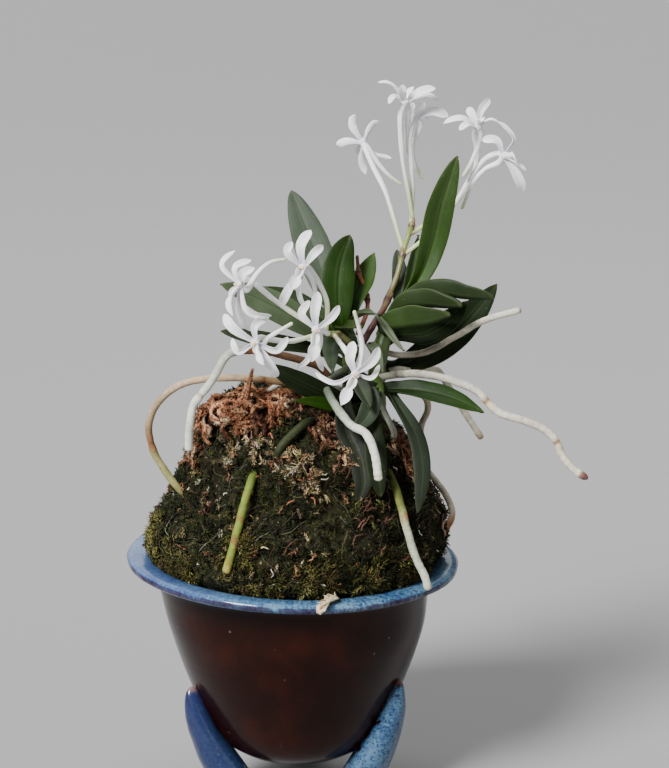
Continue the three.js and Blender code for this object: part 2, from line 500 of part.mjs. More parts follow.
const ROOTS = {
  root_front_white: {
    radius: 1.45, color: ROOT_WHITE, steps: 14,
    points: [[18.8, -1, 141], [13.5, -7.5, 139.8], [10.9, -14, 138.5], [12.5, -22, 136.3], [15.3, -29, 133.5],
      [19, -34, 130.4], [23.3, -37, 128.6], [25.8, -39, 123.4], [27.3, -40, 114.4]],
  },
  root_right_long: {
    radius: 1.35, knuckles: [0.47, 0.8], color: ROOT_WHITE, steps: 20,
    points: [[28.1, -3, 138.3], [34.5, -5, 139.8], [40.8, -6, 140.1], [50.3, -7, 138.4], [59.1, -10, 135.2],
      [61.9, -12, 132.4], [65.9, -14, 129.3], [73.8, -16, 127.2], [80, -17, 124.6], [83.4, -19, 121.5],
      [85.3, -20, 117.2], [88.4, -22, 113.5], [93.3, -24, 110.5]],
  },
  root_right_upper: {
    radius: 1.15, color: ROOT_WHITE, steps: 12,
    points: [[28, 1, 146], [34.6, 4, 143.9], [42.7, 4, 144.9], [52.1, 1, 150.6], [61.4, -3, 157], [72.6, -6, 160.9]],
  },
  root_left_hanging: {
    radius: 1.35, knuckles: [0.55, 0.78], color: ROOT_WHITE, steps: 18,
    points: [[18.6, -1.5, 137], [12.6, -8.4, 139.4], [8.4, -12, 144.1], [2.8, -16, 147], [-7.1, -23, 151.3],
      [-12.6, -27, 152.8], [-19.2, -31, 152.2], [-24.2, -33, 144.4], [-29.7, -35, 137.3], [-31, -36, 131.2],
      [-31.7, -35, 122.6]],
  },
  root_left_arch: {
    radius: 1.25, knuckles: [0.78], color: ROOT_TAN, steps: 20,
    points: [[18.5, -3, 129], [12.2, -4, 133], [2.7, -11, 137.7], [-6.7, -15, 140.2], [-16, -18, 141.7],
      [-26.9, -20, 141.9], [-35.5, -18, 139.2], [-42.4, -15, 132.5], [-45.2, -13, 125.1], [-44.4, -12, 117.7],
      [-41, -12, 110.7], [-35.6, -14, 104], [-31, -14, 100]],
  },
  root_rear_right: {
    radius: 1.2, color: ROOT_WHITE, steps: 11,
    points: [[28, 1, 138], [33, 5, 138.8], [41.4, 12, 136.4], [47.5, 20, 134.8], [50.9, 22, 129.2], [55.6, 21, 122],
      [62.1, 17, 112.5]],
  },
  root_rear_loop: {
    radius: 1.25, color: ROOT_WHITE, steps: 18,
    points: [[28, 2, 134], [34.7, 6, 133.8], [42.8, 14, 127.8], [44.3, 18, 122.8], [42.5, 24, 115.7],
      [42, 27, 107.7], [43.8, 28, 99.8], [47.4, 26, 95.6], [51, 23, 90.9], [52.5, 18, 87], [50.8, 12, 84],
      [45.4, 7, 80.8], [40, 5, 77.5]],
  },
  root_moss_left: {
    radius: 1.4, color: ROOT_GREEN, steps: 8,
    points: [[-10.8, -27, 114.5], [-12.3, -34.6, 112.6], [-14.2, -38.2, 107.3], [-16.3, -41, 99.3], [-18.2, -43, 92.4],
      [-20.1, -43.6, 85.6]],
  },
  root_moss_right: {
    radius: 1.4, color: ROOT_WHITE, steps: 10,
    points: [[30, -20, 113], [33.2, -28.6, 107.4], [34.7, -31, 102.3], [36.8, -33.4, 94.7], [39.4, -34.8, 87],
      [42, -35.4, 81.8], [43, -35.8, 77.6]],
  },
  root_short_grey: {
    radius: 1.05, color: ROOT_WHITE, steps: 7,
    points: [[27, -4, 133], [27.6, -8.6, 132.4], [29, -11.4, 130], [31, -12.4, 126], [32.6, -11.4, 121.6], [31, -7, 118]],
  },
  root_moss_dark: {
    radius: 1.45, color: ROOT_GREEN, steps: 7,
    points: [[8, -17, 127.5], [4.6, -24.6, 128.8], [0.6, -28.8, 126.4], [-3.6, -31, 122], [-5, -28, 116]],
  },
  root_top_pale: {
    radius: 1.25, color: ROOT_WHITE, steps: 9,
    points: [[18, -1.5, 133], [5, -5.4, 137.3], [-3, -8, 137.5], [-9, -12, 133], [-11, -13, 127]],
  },
};

for (const [name, shape] of Object.entries(ROOTS)) {
  place(name, shape.color, (grow) => root(shape, grow));
}

// ---------------------------------------------------------------- leaves

const BROAD_LEAF = 7.5; // leaves wider than this have four facets across

/**
 * One leaf. It leaves its stem at from (0 to 1 along the stem), half folded where it wraps it, and
 * runs through points to its tip, where it is blunt. face is the way its upper side looks, turning to
 * faceEnd at the tip; fold is how far each half is lifted, in degrees.
 */
function leaf({ stem, from, points, width, face, faceEnd = face, fold }, grow) {
  const broad = width > BROAD_LEAF;
  const shape = [[0, 0.5], [0.2, 0.62], [0.45, 0.95], [0.68, 1], [0.86, 0.78], [0.95, 0.46], [1, 0.12]];
  const opening = [[0, 62], [0.25, mix(62, fold, 0.5)], [0.5, fold], [1, 0.7 * fold]];
  return blade(through([stem.getPointAt(from), ...points.map(vec)]), {
    face: vec(face).normalize(),
    faceEnd: vec(faceEnd).normalize(),
    halfWidth: (u) => 0.5 * width * along(shape, u),
    fold: (u) => radians(along(opening, u)),
    thickness: (u) => LEAF_THICKNESS * along([[0, 1], [0.7, 0.85], [1, 0.5]], u),
    steps: broad ? 8 : 7,
    broad,
    grow,
  });
}

const LEAVES = {
  leaf_front_cup: {
    stem: stemFront, from: 0.9, width: 6.8, fold: 24, face: [0.1, -0.6, 0.7], faceEnd: [0.2, -1, 0.3],
    points: [[24.6, -21.5, 139.5], [25, -26, 135.5], [23, -29.5, 131.6], [19.8, -32, 129.2]], color: LEAF_GREY,
  },
  leaf_front_middle: {
    stem: stemFront, from: 0.75, width: 7.4, fold: 30, face: [0.5, -0.7, 0.6],
    points: [[20, -20, 142.4], [21.6, -26.5, 140], [24.6, -32, 135.8]], color: LEAF_GREY,
  },
  leaf_front_long: {
    stem: stemFront, from: 0.7, width: 7.2, fold: 24, face: [0.5, -0.6, 0.6], faceEnd: [0.5, -0.9, 0.1],
    points: [[29.9, -12.5, 136.5], [34.3, -15, 130.6], [39, -19, 122.5], [40.8, -23, 113.1], [39.9, -26, 99.9]],
    color: LEAF_GREY,
  },
  leaf_front_hanging: {
    stem: stemFront, from: 0.55, width: 8, fold: 14, face: [0, -0.8, 0.6], faceEnd: [0, -1, 0.2],
    points: [[17.5, -15, 136], [17.4, -23, 127.5], [21.6, -30, 118.4], [22.5, -34, 111.7], [20.6, -36, 105.8]],
    color: LEAF_DARK,
  },
  leaf_front_curved: {
    stem: stemFront, from: 0.95, width: 7, fold: 18, face: [0.2, -0.8, 0.6], faceEnd: [0.1, -1, 0.1],
    points: [[24.8, -24, 133], [26.2, -30, 122], [27.1, -33, 113.4], [28.1, -34, 107.5]], color: LEAF_DARK,
  },
  leaf_front_bright: {
    stem: stemFront, from: 0.3, width: 4.2, fold: 20, face: [0, -0.9, 0.4],
    points: [[14.5, -17, 132.2], [7.5, -22, 135], [1.4, -27, 136.7]], color: LEAF_BRIGHT,
  },
  leaf_front_left: {
    stem: stemFront, from: 0.45, width: 7.4, fold: 14, face: [0.1, -0.9, 0.4],
    points: [[15.5, -15, 134], [3, -21, 140.8], [-7.6, -27, 148.3]], color: LEAF_DARK,
  },
  leaf_front_right: {
    stem: stemFront, from: 0.6, width: 7, fold: 34, face: [0.1, -0.6, 0.8],
    points: [[30, -12, 136.5], [39, -15, 136.8], [49.9, -18, 135], [60.5, -21, 131.5]], color: LEAF_BRIGHT,
  },
  leaf_left_broad: {
    stem: stemLeft, from: 0.72, width: 10.7, fold: 14, face: [0.1, -1, 0.1],
    points: [[15.2, -4, 157], [14.4, -3, 166.8], [15.3, 0, 175.2], [18.5, 4, 183.2]], color: LEAF_BRIGHT,
  },
  leaf_left_narrow: {
    stem: stemLeft, from: 0.78, width: 6.6, fold: 34, face: [-0.3, -0.95, 0.2],
    points: [[19, 0, 158], [20.5, 3, 164.2], [23.4, 7, 169.5], [26.3, 11, 176]], color: LEAF_MID,
  },
  leaf_left_tall: {
    stem: stemLeft, from: 0.6, width: 12, fold: 12, face: [0.1, -0.95, 0.15],
    points: [[16, 4, 154], [8.3, 14, 172.4], [3.4, 24, 183.6], [-0.6, 31, 192.8]], color: LEAF_GREY,
  },
  leaf_left_long: {
    stem: stemLeft, from: 0.6, width: 9.8, fold: 14, face: [-0.1, -0.85, 0.5],
    points: [[9, -1, 152], [-0.5, -5, 159.1], [-11.5, -8, 165.6], [-22, -11, 170.4]], color: LEAF_GREY,
  },
  leaf_left_upper: {
    stem: stemLeft, from: 0.68, width: 7, fold: 16, face: [-0.1, -0.8, 0.6],
    points: [[13, 3, 153], [2.5, 8, 160], [-11, 10, 164.5]], color: LEAF_DARK,
  },
  leaf_left_lower: {
    stem: stemLeft, from: 0.5, width: 6, fold: 20, face: [-0.1, -0.8, 0.6],
    points: [[9, 4, 145], [-7, 6, 148], [-23, 8, 151]], color: LEAF_DARK,
  },
  leaf_left_drooping: {
    stem: stemLeft, from: 0.66, width: 6, fold: 18, face: [0, -0.8, 0.6], faceEnd: [0, -1, 0.1],
    points: [[14, -8, 151.5], [12.5, -16, 150.5], [13, -24, 145]], color: LEAF_GREY,
  },
  leaf_left_sheath: {
    stem: stemLeft, from: 0.8, width: 5.4, fold: 24, face: [0, -0.5, 0.86],
    points: [[16, -8, 155.5], [17.5, -11, 157], [22.5, -14, 157.5]], color: LEAF_BRIGHT,
  },
  leaf_left_bract: {
    stem: stemLeft, from: 0.86, width: 3.6, fold: 30, face: [0, -0.6, 0.8],
    points: [[19, -4, 157.5], [22.5, -10, 161], [26, -17, 162.4]], color: LEAF_GREY,
  },
  leaf_right_tall: {
    stem: stemRight, from: 0.86, width: 9.8, fold: 22, face: [0.1, -1, 0.1],
    points: [[38.1, 4, 165], [41.9, 5, 171.6], [45, 6, 181.1], [47.4, 6, 192.4], [52.4, 7, 208]], color: LEAF_MID,
  },
  leaf_right_upper: {
    stem: stemRight, from: 0.9, width: 11.4, fold: 72, face: [0, 0.35, 1],
    points: [[38.5, 2, 162.8], [46.5, -2, 164.6], [55.2, -5, 163.6], [63.9, -8, 164.2]], color: LEAF_MID,
  },
  leaf_right_middle: {
    stem: stemRight, from: 0.84, width: 12, fold: 72, face: [0, 0.4, 1],
    points: [[35.5, -3, 161], [43.1, -8, 162], [49.3, -12, 162.2], [53.5, -15, 163.2]], color: LEAF_MID,
  },
  leaf_right_short: {
    stem: stemRight, from: 0.72, width: 15, fold: 70, face: [0, 0.4, 1],
    points: [[31, -7, 154.2], [37.2, -12, 155.2], [43.6, -17, 157], [49.6, -20, 160.8]], color: LEAF_MID,
  },
  leaf_right_broad: {
    stem: stemRight, from: 0.5, width: 11.5, fold: 12, face: [-0.2, -0.9, 0.3],
    points: [[34.8, 9, 138.9], [47.9, 14, 144.9], [58.4, 20, 153.6], [66.7, 24, 163]], color: LEAF_DARK,
  },
  leaf_right_under: {
    stem: stemRight, from: 0.62, width: 8.6, fold: 18, face: [0, -0.8, 0.6],
    points: [[33, 3, 150], [42.3, 4, 150.6], [50.7, 6, 155.2], [56.2, 8, 160.8]], color: LEAF_DARK,
  },
  leaf_right_heart: {
    stem: stemRight, from: 0.7, width: 6, fold: 24, face: [0, -1, 0.2],
    points: [[34.5, 10, 157], [34.9, 18, 166.1], [33.9, 25, 174.3]], color: LEAF_GREY,
  },
  leaf_right_inner: {
    stem: stemRight, from: 0.78, width: 4.6, fold: 30, face: [0.1, -1, 0.2],
    points: [[36, 9, 160.1], [38.6, 15, 169.5], [40.8, 20.5, 180]], color: LEAF_DARK,
  },
  leaf_right_bract: {
    stem: stemRight, from: 0.72, width: 3.2, fold: 30, face: [0.4, -0.8, 0.5],
    points: [[27.7, -5, 158.4], [29.8, -10, 156], [32.3, -15, 153.6], [35.3, -19, 151]], color: LEAF_GREY,
  },
  leaf_right_bract_low: {
    stem: stemRight, from: 0.55, width: 3.5, fold: 24, face: [0, -0.9, 0.4],
    points: [[25, -6, 149.5], [27, -13, 148.9], [28.8, -19, 143.9]], color: LEAF_GREY,
  },
};

for (const [name, shape] of Object.entries(LEAVES)) {
  place(name, shape.color, (grow) => leaf(shape, grow));
}

// ---------------------------------------------------------------- moss

/** The dome above the lip, as [height, radius, how far its middle lies to the right]. */
const DOME = [
  [79, 45.2, 0.4], [81, 46.7, 0.8], [85, 47.2, 1.4], [92, 45.8, 2.4], [99.5, 42.4, 3], [107, 38.8, 3.2],
  [114, 35.6, 3], [120, 31.8, 2], [125.5, 27.4, 0], [129.8, 21.4, -1], [132.6, 13.5, -3],
];
const DOME_SIDES = 32;
const CAP_STRANDS = 12;

/** Height of the moss's lumps at a place on the dome: crossed waves, from about -1 to 1. */
function lumps(angle, z) {
  return 0.5 * Math.sin(7 * angle + 0.21 * z) * Math.cos(0.33 * z - 3 * angle)
    + 0.35 * Math.sin(12 * angle - 0.47 * z + 1.3) + 0.25 * Math.sin(0.9 * z + 5 * angle);
}

function mossMound(grow) {
  const ring = (radius, z, middle, relief) => Array.from({ length: DOME_SIDES }, (_, j) => {
    const angle = 2 * Math.PI * j / DOME_SIDES;
    const r = radius + grow + relief * MOSS_RELIEF * lumps(angle, z);
    const rise = 0.4 * relief * lumps(angle + 1, z);
    return handThrown(new THREE.Vector3(middle + r * Math.cos(angle), r * Math.sin(angle), z + rise));
  });
  // Inside the pot the fibre follows the bowl, a little more than CLEARANCE away from it.
  const fill = [...BOWL_INSIDE].reverse().concat([[THROAT_RADIUS, 72.4], [43, 76.2]]);
  return skin([
    ...fill.map(([r, z]) => ring(r - 1.4 * CLEARANCE - grow, z + 1.4 * CLEARANCE, 0, 0)),
    ...DOME.map(([z, r, middle]) => ring(r, z, middle, smoothstep(z, RIM_TOP, RIM_TOP + 8))),
    ring(5, 134 + grow, -4, 0.4),
  ]);
}

place("moss_mound", MOSS, mossMound);

/** The dry cap: a lumpy pad on the dome's upper left, matted with curled strands. */
function dryMossCap(grow) {
  const draw = seeded(11);
  const middle = new THREE.Vector3(-12.7, -12, 129.3);
  const reach = new THREE.Vector3(16.6, 12.6, 6.8);
  const pad = new THREE.SphereGeometry(1, 13, 7).rotateX(Math.PI / 2);
  const places = pad.attributes.position;
  for (let i = 0; i < places.count; i++) {
    const at = new THREE.Vector3().fromBufferAttribute(places, i);
    const swell = 1 + 0.09 * lumps(Math.atan2(at.y, at.x), 14 * at.z) * (1 - Math.abs(at.z));
    const lean = 2.6 * at.x - 0.6;
    places.setXYZ(i, ...shifted(at.multiply(reach).multiplyScalar(swell).add(middle), [0, 0, lean]).toArray());
  }
  const strand = (i) => {
    const turn = i * 2.4;
    const slope = Math.acos(1 - 0.9 * (i + 0.5) / CAP_STRANDS);
    const out = new THREE.Vector3(Math.sin(slope) * Math.cos(turn), Math.sin(slope) * Math.sin(turn), Math.cos(slope));
    const lean = new THREE.Vector3(draw() - 0.5, draw() - 0.5, draw() - 0.4).multiplyScalar(9);
    const foot = shifted(out.clone().multiply(reach).multiplyScalar(0.88).add(middle), [0, 0, 2.6 * out.x - 0.6]);
    const bend = foot.clone().addScaledVector(out, 2.4).addScaledVector(lean, 0.4);
    const tip = foot.clone().addScaledVector(out, 2).add(lean);
    return tube(through([foot, bend, tip]), (u) => mix(1.3, 0.6, u), { sides: 4, steps: 2, grow });
  };
  const spike = through([[-14.5, -17, 133], [-13.6, -19.5, 138.4], [-12, -21.5, 145.5]].map(vec));
  return joined([
    solidOf(pad),
    tube(spike, (u) => mix(1.8, 0.6, u), { sides: 5, steps: 3, grow }),
    ...Array.from({ length: CAP_STRANDS }, (_, i) => strand(i)),
  ]);
}

place("dry_moss_cap", DRY_MOSS, dryMossCap);

/** A flake of dry moss that has dropped on the front of the lip and hangs over its edge. */
function dryMossScrap(grow) {
  return blade(through([[14.6, -46.6, 78.8], [12.6, -49.6, 79.8], [10.8, -53, 79.4], [8.6, -55.4, 76.4]].map(vec)), {
    face: new THREE.Vector3(0, -0.3, 1),
    halfWidth: (u) => along([[0, 0.7], [0.3, 1.7], [0.6, 1.1], [0.85, 1.6], [1, 0.6]], u),
    fold: () => radians(18),
    thickness: () => 1,
    steps: 6,
    grow,
  });
}

place("dry_moss_scrap", PALE_MOSS, dryMossScrap);

// The group moves so that the origin is the middle of the bottom of its box.
const whole = new THREE.Box3().setFromObject(group);
group.position.set(-0.5 * (whole.min.x + whole.max.x), -0.5 * (whole.min.y + whole.max.y), -whole.min.z);

export default group;
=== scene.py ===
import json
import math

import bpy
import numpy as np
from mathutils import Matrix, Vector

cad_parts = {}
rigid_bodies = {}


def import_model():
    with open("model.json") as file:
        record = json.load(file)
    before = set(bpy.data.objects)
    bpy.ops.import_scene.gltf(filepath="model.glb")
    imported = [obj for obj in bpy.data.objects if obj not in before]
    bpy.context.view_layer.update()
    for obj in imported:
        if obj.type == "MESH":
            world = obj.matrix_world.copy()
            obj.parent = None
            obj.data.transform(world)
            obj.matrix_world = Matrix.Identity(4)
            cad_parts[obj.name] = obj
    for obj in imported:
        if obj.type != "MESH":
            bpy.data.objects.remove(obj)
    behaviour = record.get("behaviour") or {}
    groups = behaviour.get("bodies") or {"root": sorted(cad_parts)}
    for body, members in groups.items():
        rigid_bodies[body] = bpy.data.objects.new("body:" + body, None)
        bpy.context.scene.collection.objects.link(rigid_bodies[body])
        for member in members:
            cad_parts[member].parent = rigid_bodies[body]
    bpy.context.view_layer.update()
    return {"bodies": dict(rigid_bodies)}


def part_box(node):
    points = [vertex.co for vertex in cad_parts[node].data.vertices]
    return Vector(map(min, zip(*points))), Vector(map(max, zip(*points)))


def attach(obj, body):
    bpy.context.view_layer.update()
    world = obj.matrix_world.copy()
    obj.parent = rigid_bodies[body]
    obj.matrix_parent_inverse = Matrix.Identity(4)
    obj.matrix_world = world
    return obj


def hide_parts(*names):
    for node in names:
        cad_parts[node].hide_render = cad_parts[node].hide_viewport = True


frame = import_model()

# Wind orchid on a dome of moss in a glazed pot: the finished surfaces of every piece.
#
# The plant is laid out in millimetres around the axis of the pot's lip, with z = 0 under the feet. A shape
# is worked out as an array [rings, sides, 3], or [pieces, rings, sides, 3] for many at once: every one is a
# closed skin of rings, capped at both ends.

BODY = next(iter(frame["bodies"]))
pot_low, pot_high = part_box("pot")
POT_AXIS = np.array([0.5 * (pot_low.x + pot_high.x), 0.5 * (pot_low.y + pot_high.y), 0.0])
MM = 0.001

# -------------------------------------------------------------------------------- camera

FRAME_HEIGHT = 768
FOCAL_PIXELS = 2762.0
SENSOR_MM = 36.0
EYE = np.array([13.6, -859.8, 348.1])
DOWNWARD_PITCH = 13.9


def place_object(name, data, place=(0, 0, 0), turn=(0, 0, 0)):
    """Puts a mesh, lamp or camera into the scene, turned by angles in radians."""
    made = bpy.data.objects.new(name, data)
    made.location = place
    made.rotation_euler = turn
    bpy.context.scene.collection.objects.link(made)
    return made


camera_data = bpy.data.cameras.new("camera")
camera_data.sensor_width = SENSOR_MM
camera_data.lens = SENSOR_MM * FOCAL_PIXELS / FRAME_HEIGHT
camera_data.clip_start = 0.02
camera_data.clip_end = 60.0
bpy.context.scene.camera = place_object("camera", camera_data, EYE * MM + POT_AXIS,
                                        (math.radians(90.0 - DOWNWARD_PITCH), 0.0, 0.0))

# -------------------------------------------------------------------------------- numbers


def unit(vectors):
    """Vectors scaled to length one."""
    vectors = np.asarray(vectors, float)
    return vectors / np.maximum(np.linalg.norm(vectors, axis=-1, keepdims=True), 1e-9)


def mix(a, b, t):
    """a where t is 0, b where t is 1."""
    return a + (b - a) * t


def smoothstep(x, low, high):
    """0 below low, 1 above high, 3t^2 - 2t^3 between."""
    t = np.clip((x - low) / (high - low), 0.0, 1.0)
    return t * t * (3.0 - 2.0 * t)


def bell(x, width):
    """exp(-(x / width)^2): 1 at 0, near 0 beyond two widths."""
    return np.exp(-((x / width) ** 2))


def bumps(places, width, u):
    """Narrow bells of height 1 at the given places."""
    return sum((bell(u - at, width) for at in places), np.zeros_like(u))


def cubic(t, start, end, start_slope, end_slope):
    """The cubic from start to end as t runs from 0 to 1, with the given slopes there."""
    first = (1 + 2 * t) * (1 - t) ** 2 * start + t * (1 - t) ** 2 * start_slope
    return first + t * t * (3 - 2 * t) * end + t * t * (t - 1) * end_slope


def along(pairs, u):
    """The broken line through pairs (u, value)."""
    return np.interp(u, *np.array(pairs, float).T)


def eased(pairs, u):
    """The smooth line through pairs (u, value): cubic pieces, whose slope at a pair is the harmonic mean of
    the slopes on both sides, or 0 at a peak, so that it never overshoots."""
    x, y = np.array(pairs, float).T
    run = np.diff(x)
    rise = np.diff(y) / run
    total = rise[1:] + rise[:-1]
    product = rise[1:] * rise[:-1]
    inner = np.where(product > 0, 2 * product / np.where(product > 0, total, 1), 0)
    slope = np.concatenate([rise[:1], inner, rise[-1:]])
    i = np.clip(np.searchsorted(x, u, side="right") - 1, 0, len(run) - 1)
    t = np.clip((u - x[i]) / run[i], 0, 1)
    return cubic(t, y[i], y[i + 1], run[i] * slope[i], run[i] * slope[i + 1])


def columns(u, at, rows):
    """Each column of rows on the broken line through the places at, read at u."""
    return np.stack([np.interp(u, at, column) for column in np.transpose(rows)], -1)


def ripple(points, size, seed):
    """Smooth noise from about -1 to 1: 14 plane waves about `size` long in seeded directions, added up."""
    waves = 14
    draw = np.random.default_rng(seed)
    heading = unit(draw.normal(size=(waves, 3))) * draw.uniform(0.7, 1.4, (waves, 1)) * 2 * math.pi / size
    phase = draw.uniform(0, 2 * math.pi, waves)
    return np.sin(points @ heading.T + phase).sum(-1) / math.sqrt(2 * waves)


def ripple_line(distance, size, seed):
    """The same noise along a line."""
    return ripple(distance[:, None] * np.array([1.0, 0, 0]), size, seed)


def turns(count):
    """Angles spread evenly over one turn."""
    return np.arange(count) * 2 * math.pi / count


def polar(radius, angle, z):
    """Places at a radius, an angle and a height."""
    return np.stack(np.broadcast_arrays(radius * np.cos(angle), radius * np.sin(angle), z), -1)


def colour(text):
    """Linear red, green and blue of a colour given as six hexadecimal digits."""
    coded = np.array([int(text[i:i + 2], 16) / 255 for i in (0, 2, 4)])
    return np.where(coded <= 0.04045, coded / 12.92, ((coded + 0.055) / 1.055) ** 2.4)


def swatches(text):
    """The numbers and the colours of a list such as "0 2a3f0e, 0.6 2f4416"."""
    pairs = [item.split() for item in text.split(",")]
    return np.array([float(number) for number, _ in pairs]), np.array([colour(shade) for _, shade in pairs])


def tones(stops, u):
    """Colour at u on the broken line through stops, a list of u and colour."""
    return columns(u, *swatches(stops))


def pick(draw, palette, count):
    """count colours drawn from a list of share and colour, each made a little lighter or darker."""
    share, shades = swatches(palette)
    chosen = shades[draw.choice(len(share), count, p=share / share.sum())]
    return chosen * draw.uniform(0.72, 1.25, (count, 1)) * draw.uniform(0.94, 1.06, (count, 3))


# -------------------------------------------------------------------------------- paths


def spline(points, at):
    """Places, directions and length of the centripetal Catmull-Rom curve through points, at shares of its
    length. Each piece is the cubic with the Catmull-Rom slopes for knots a square root of distance apart."""
    p = np.array(points, float)
    p = np.vstack([2 * p[0] - p[1], p, 2 * p[-1] - p[-2]])
    knot = np.sqrt(np.linalg.norm(np.diff(p, axis=0), axis=1))[:, None]
    p0, p1, p2, p3 = p[:-3], p[1:-2], p[2:-1], p[3:]
    d0, d1, d2 = knot[:-2], knot[1:-1], knot[2:]
    m1 = ((p1 - p0) / d0 - (p2 - p0) / (d0 + d1) + (p2 - p1) / d1) * d1
    m2 = ((p2 - p1) / d1 - (p3 - p1) / (d1 + d2) + (p3 - p2) / d2) * d1
    t = np.linspace(0, 1, 60, endpoint=False)[:, None]
    dense = cubic(t, p1[:, None], p2[:, None], m1[:, None], m2[:, None])
    dense = np.vstack([dense.reshape(-1, 3), p[-2]])
    reach = np.concatenate([[0], np.cumsum(np.linalg.norm(np.diff(dense, axis=0), axis=1))])
    where = np.asarray(at, float) * reach[-1]
    heading = unit(np.gradient(dense, axis=0))
    return columns(where, reach, dense), unit(columns(where, reach, heading)), reach[-1]


def point_on(points, share):
    """The point at a share of the length of the curve through points."""
    return spline(points, [share])[0][0]


def length_of(points):
    """Length of the curve through points."""
    return spline(points, [1])[2]


def square_to(ahead):
    """Two unit directions square to a path. The reference is the direction that the path runs in least."""
    least = np.linalg.svd(ahead.reshape(-1, 3), full_matrices=False)[2][-1]
    side = unit(np.cross(ahead, least))
    return np.cross(side, ahead), side


def spokes(ahead, angle):
    """Directions a cos t + b sin t round a path, with a and b square to it."""
    a, b = square_to(ahead)
    return a[:, None] * np.cos(angle)[:, None] + b[:, None] * np.sin(angle)[:, None]


def round_ends(count, length, start, end):
    """Shares of a length, closer together over the last `start` and `end` millimetres, where an end is
    rounded, and the factor on the radius there: the square root of 1 - (1 - d/r)^2."""
    turn = np.sin(np.linspace(0, 0.5 * math.pi, 7))
    head = start * (1 - turn[::-1]) if start else np.zeros(1)
    tail = length - end * (1 - turn) if end else np.array([length])
    place = np.concatenate([head, np.linspace(head[-1], tail[0], count + 2)[1:-1], tail])
    factor = np.ones_like(place)
    for reach, gap in ((start, place), (end, length - place)):
        if reach:
            factor *= np.sqrt(np.clip(1 - (1 - np.clip(gap / reach, 0, 1)) ** 2, 0.0016, 1))
    return place / length, factor


def tube(points, radius, steps, sides, start=0.0, end=0.0, wrinkle=0.0, seed=1):
    """Rings of a round skin along a path: centre + radius(u) (a cos t + b sin t), with a and b square to the
    path. start and end are the lengths of its rounded ends. wrinkle is the height of shallow noise on it."""
    u, factor = round_ends(steps, length_of(points), start, end)
    centre, ahead, _ = spline(points, u)
    out = spokes(ahead, turns(sides))
    rings = centre[:, None] + out * (radius(u) * factor)[:, None, None]
    rough = ripple(rings, 2.2, seed) + 0.6 * ripple(rings, 0.9, seed + 1)
    return rings + out * (wrinkle * rough * factor[:, None])[..., None], u


def blade(points, half_width, section, face, face_end, steps, across, wave=0.0, seed=3):
    """Rings of a thin closed blade along a path, turned from face to face_end. Across it s runs from -1 to 1,
    and section(u, s, half) gives the upper side's sideways and upward offset and the thickness under it. The
    ring goes over the upper side from s = -1 to 1 and comes back along the lower side. wave is the height of
    slow ripples of the edges. With the rings come u, the place around on the flat pattern, s of each corner,
    and 1 for the corners of the lower side."""
    u = mix(np.linspace(0, 1, steps), 0.5 - 0.5 * np.cos(np.linspace(0, math.pi, steps)), 0.55)
    centre, ahead, length = spline(points, u)
    side = unit(np.cross(ahead, mix(unit(face), unit(face_end), u[:, None])))
    up = unit(np.cross(side, ahead))
    s = np.sin(np.linspace(-0.5 * math.pi, 0.5 * math.pi, across))
    x, z, thick = section(u[:, None], s, half_width(u)[:, None])
    left, right = (ripple_line(u * length, 9.0, seed + k)[:, None] for k in (0, 1))
    z = z + wave * np.where(s < 0, left, right) * np.abs(s) ** 1.5
    slope_x = np.gradient(x, axis=1)
    slope_z = np.gradient(z, axis=1)
    run = np.maximum(np.hypot(slope_x, slope_z), 1e-9)
    back = slice(-2, 0, -1)
    ring_x = np.concatenate([x, (x + slope_z / run * thick)[:, back]], 1)[..., None]
    ring_z = np.concatenate([z, (z - slope_x / run * thick)[:, back]], 1)[..., None]
    around = 0.5 + 0.5 * np.concatenate([s, s[-2::-1]])
    lower = np.repeat([0.0, 1.0], [across, across - 2])
    rings = centre[:, None] + side[:, None] * ring_x + up[:, None] * ring_z
    return rings, u, around, np.append(s, s[back]), lower


# -------------------------------------------------------------------------------- meshes


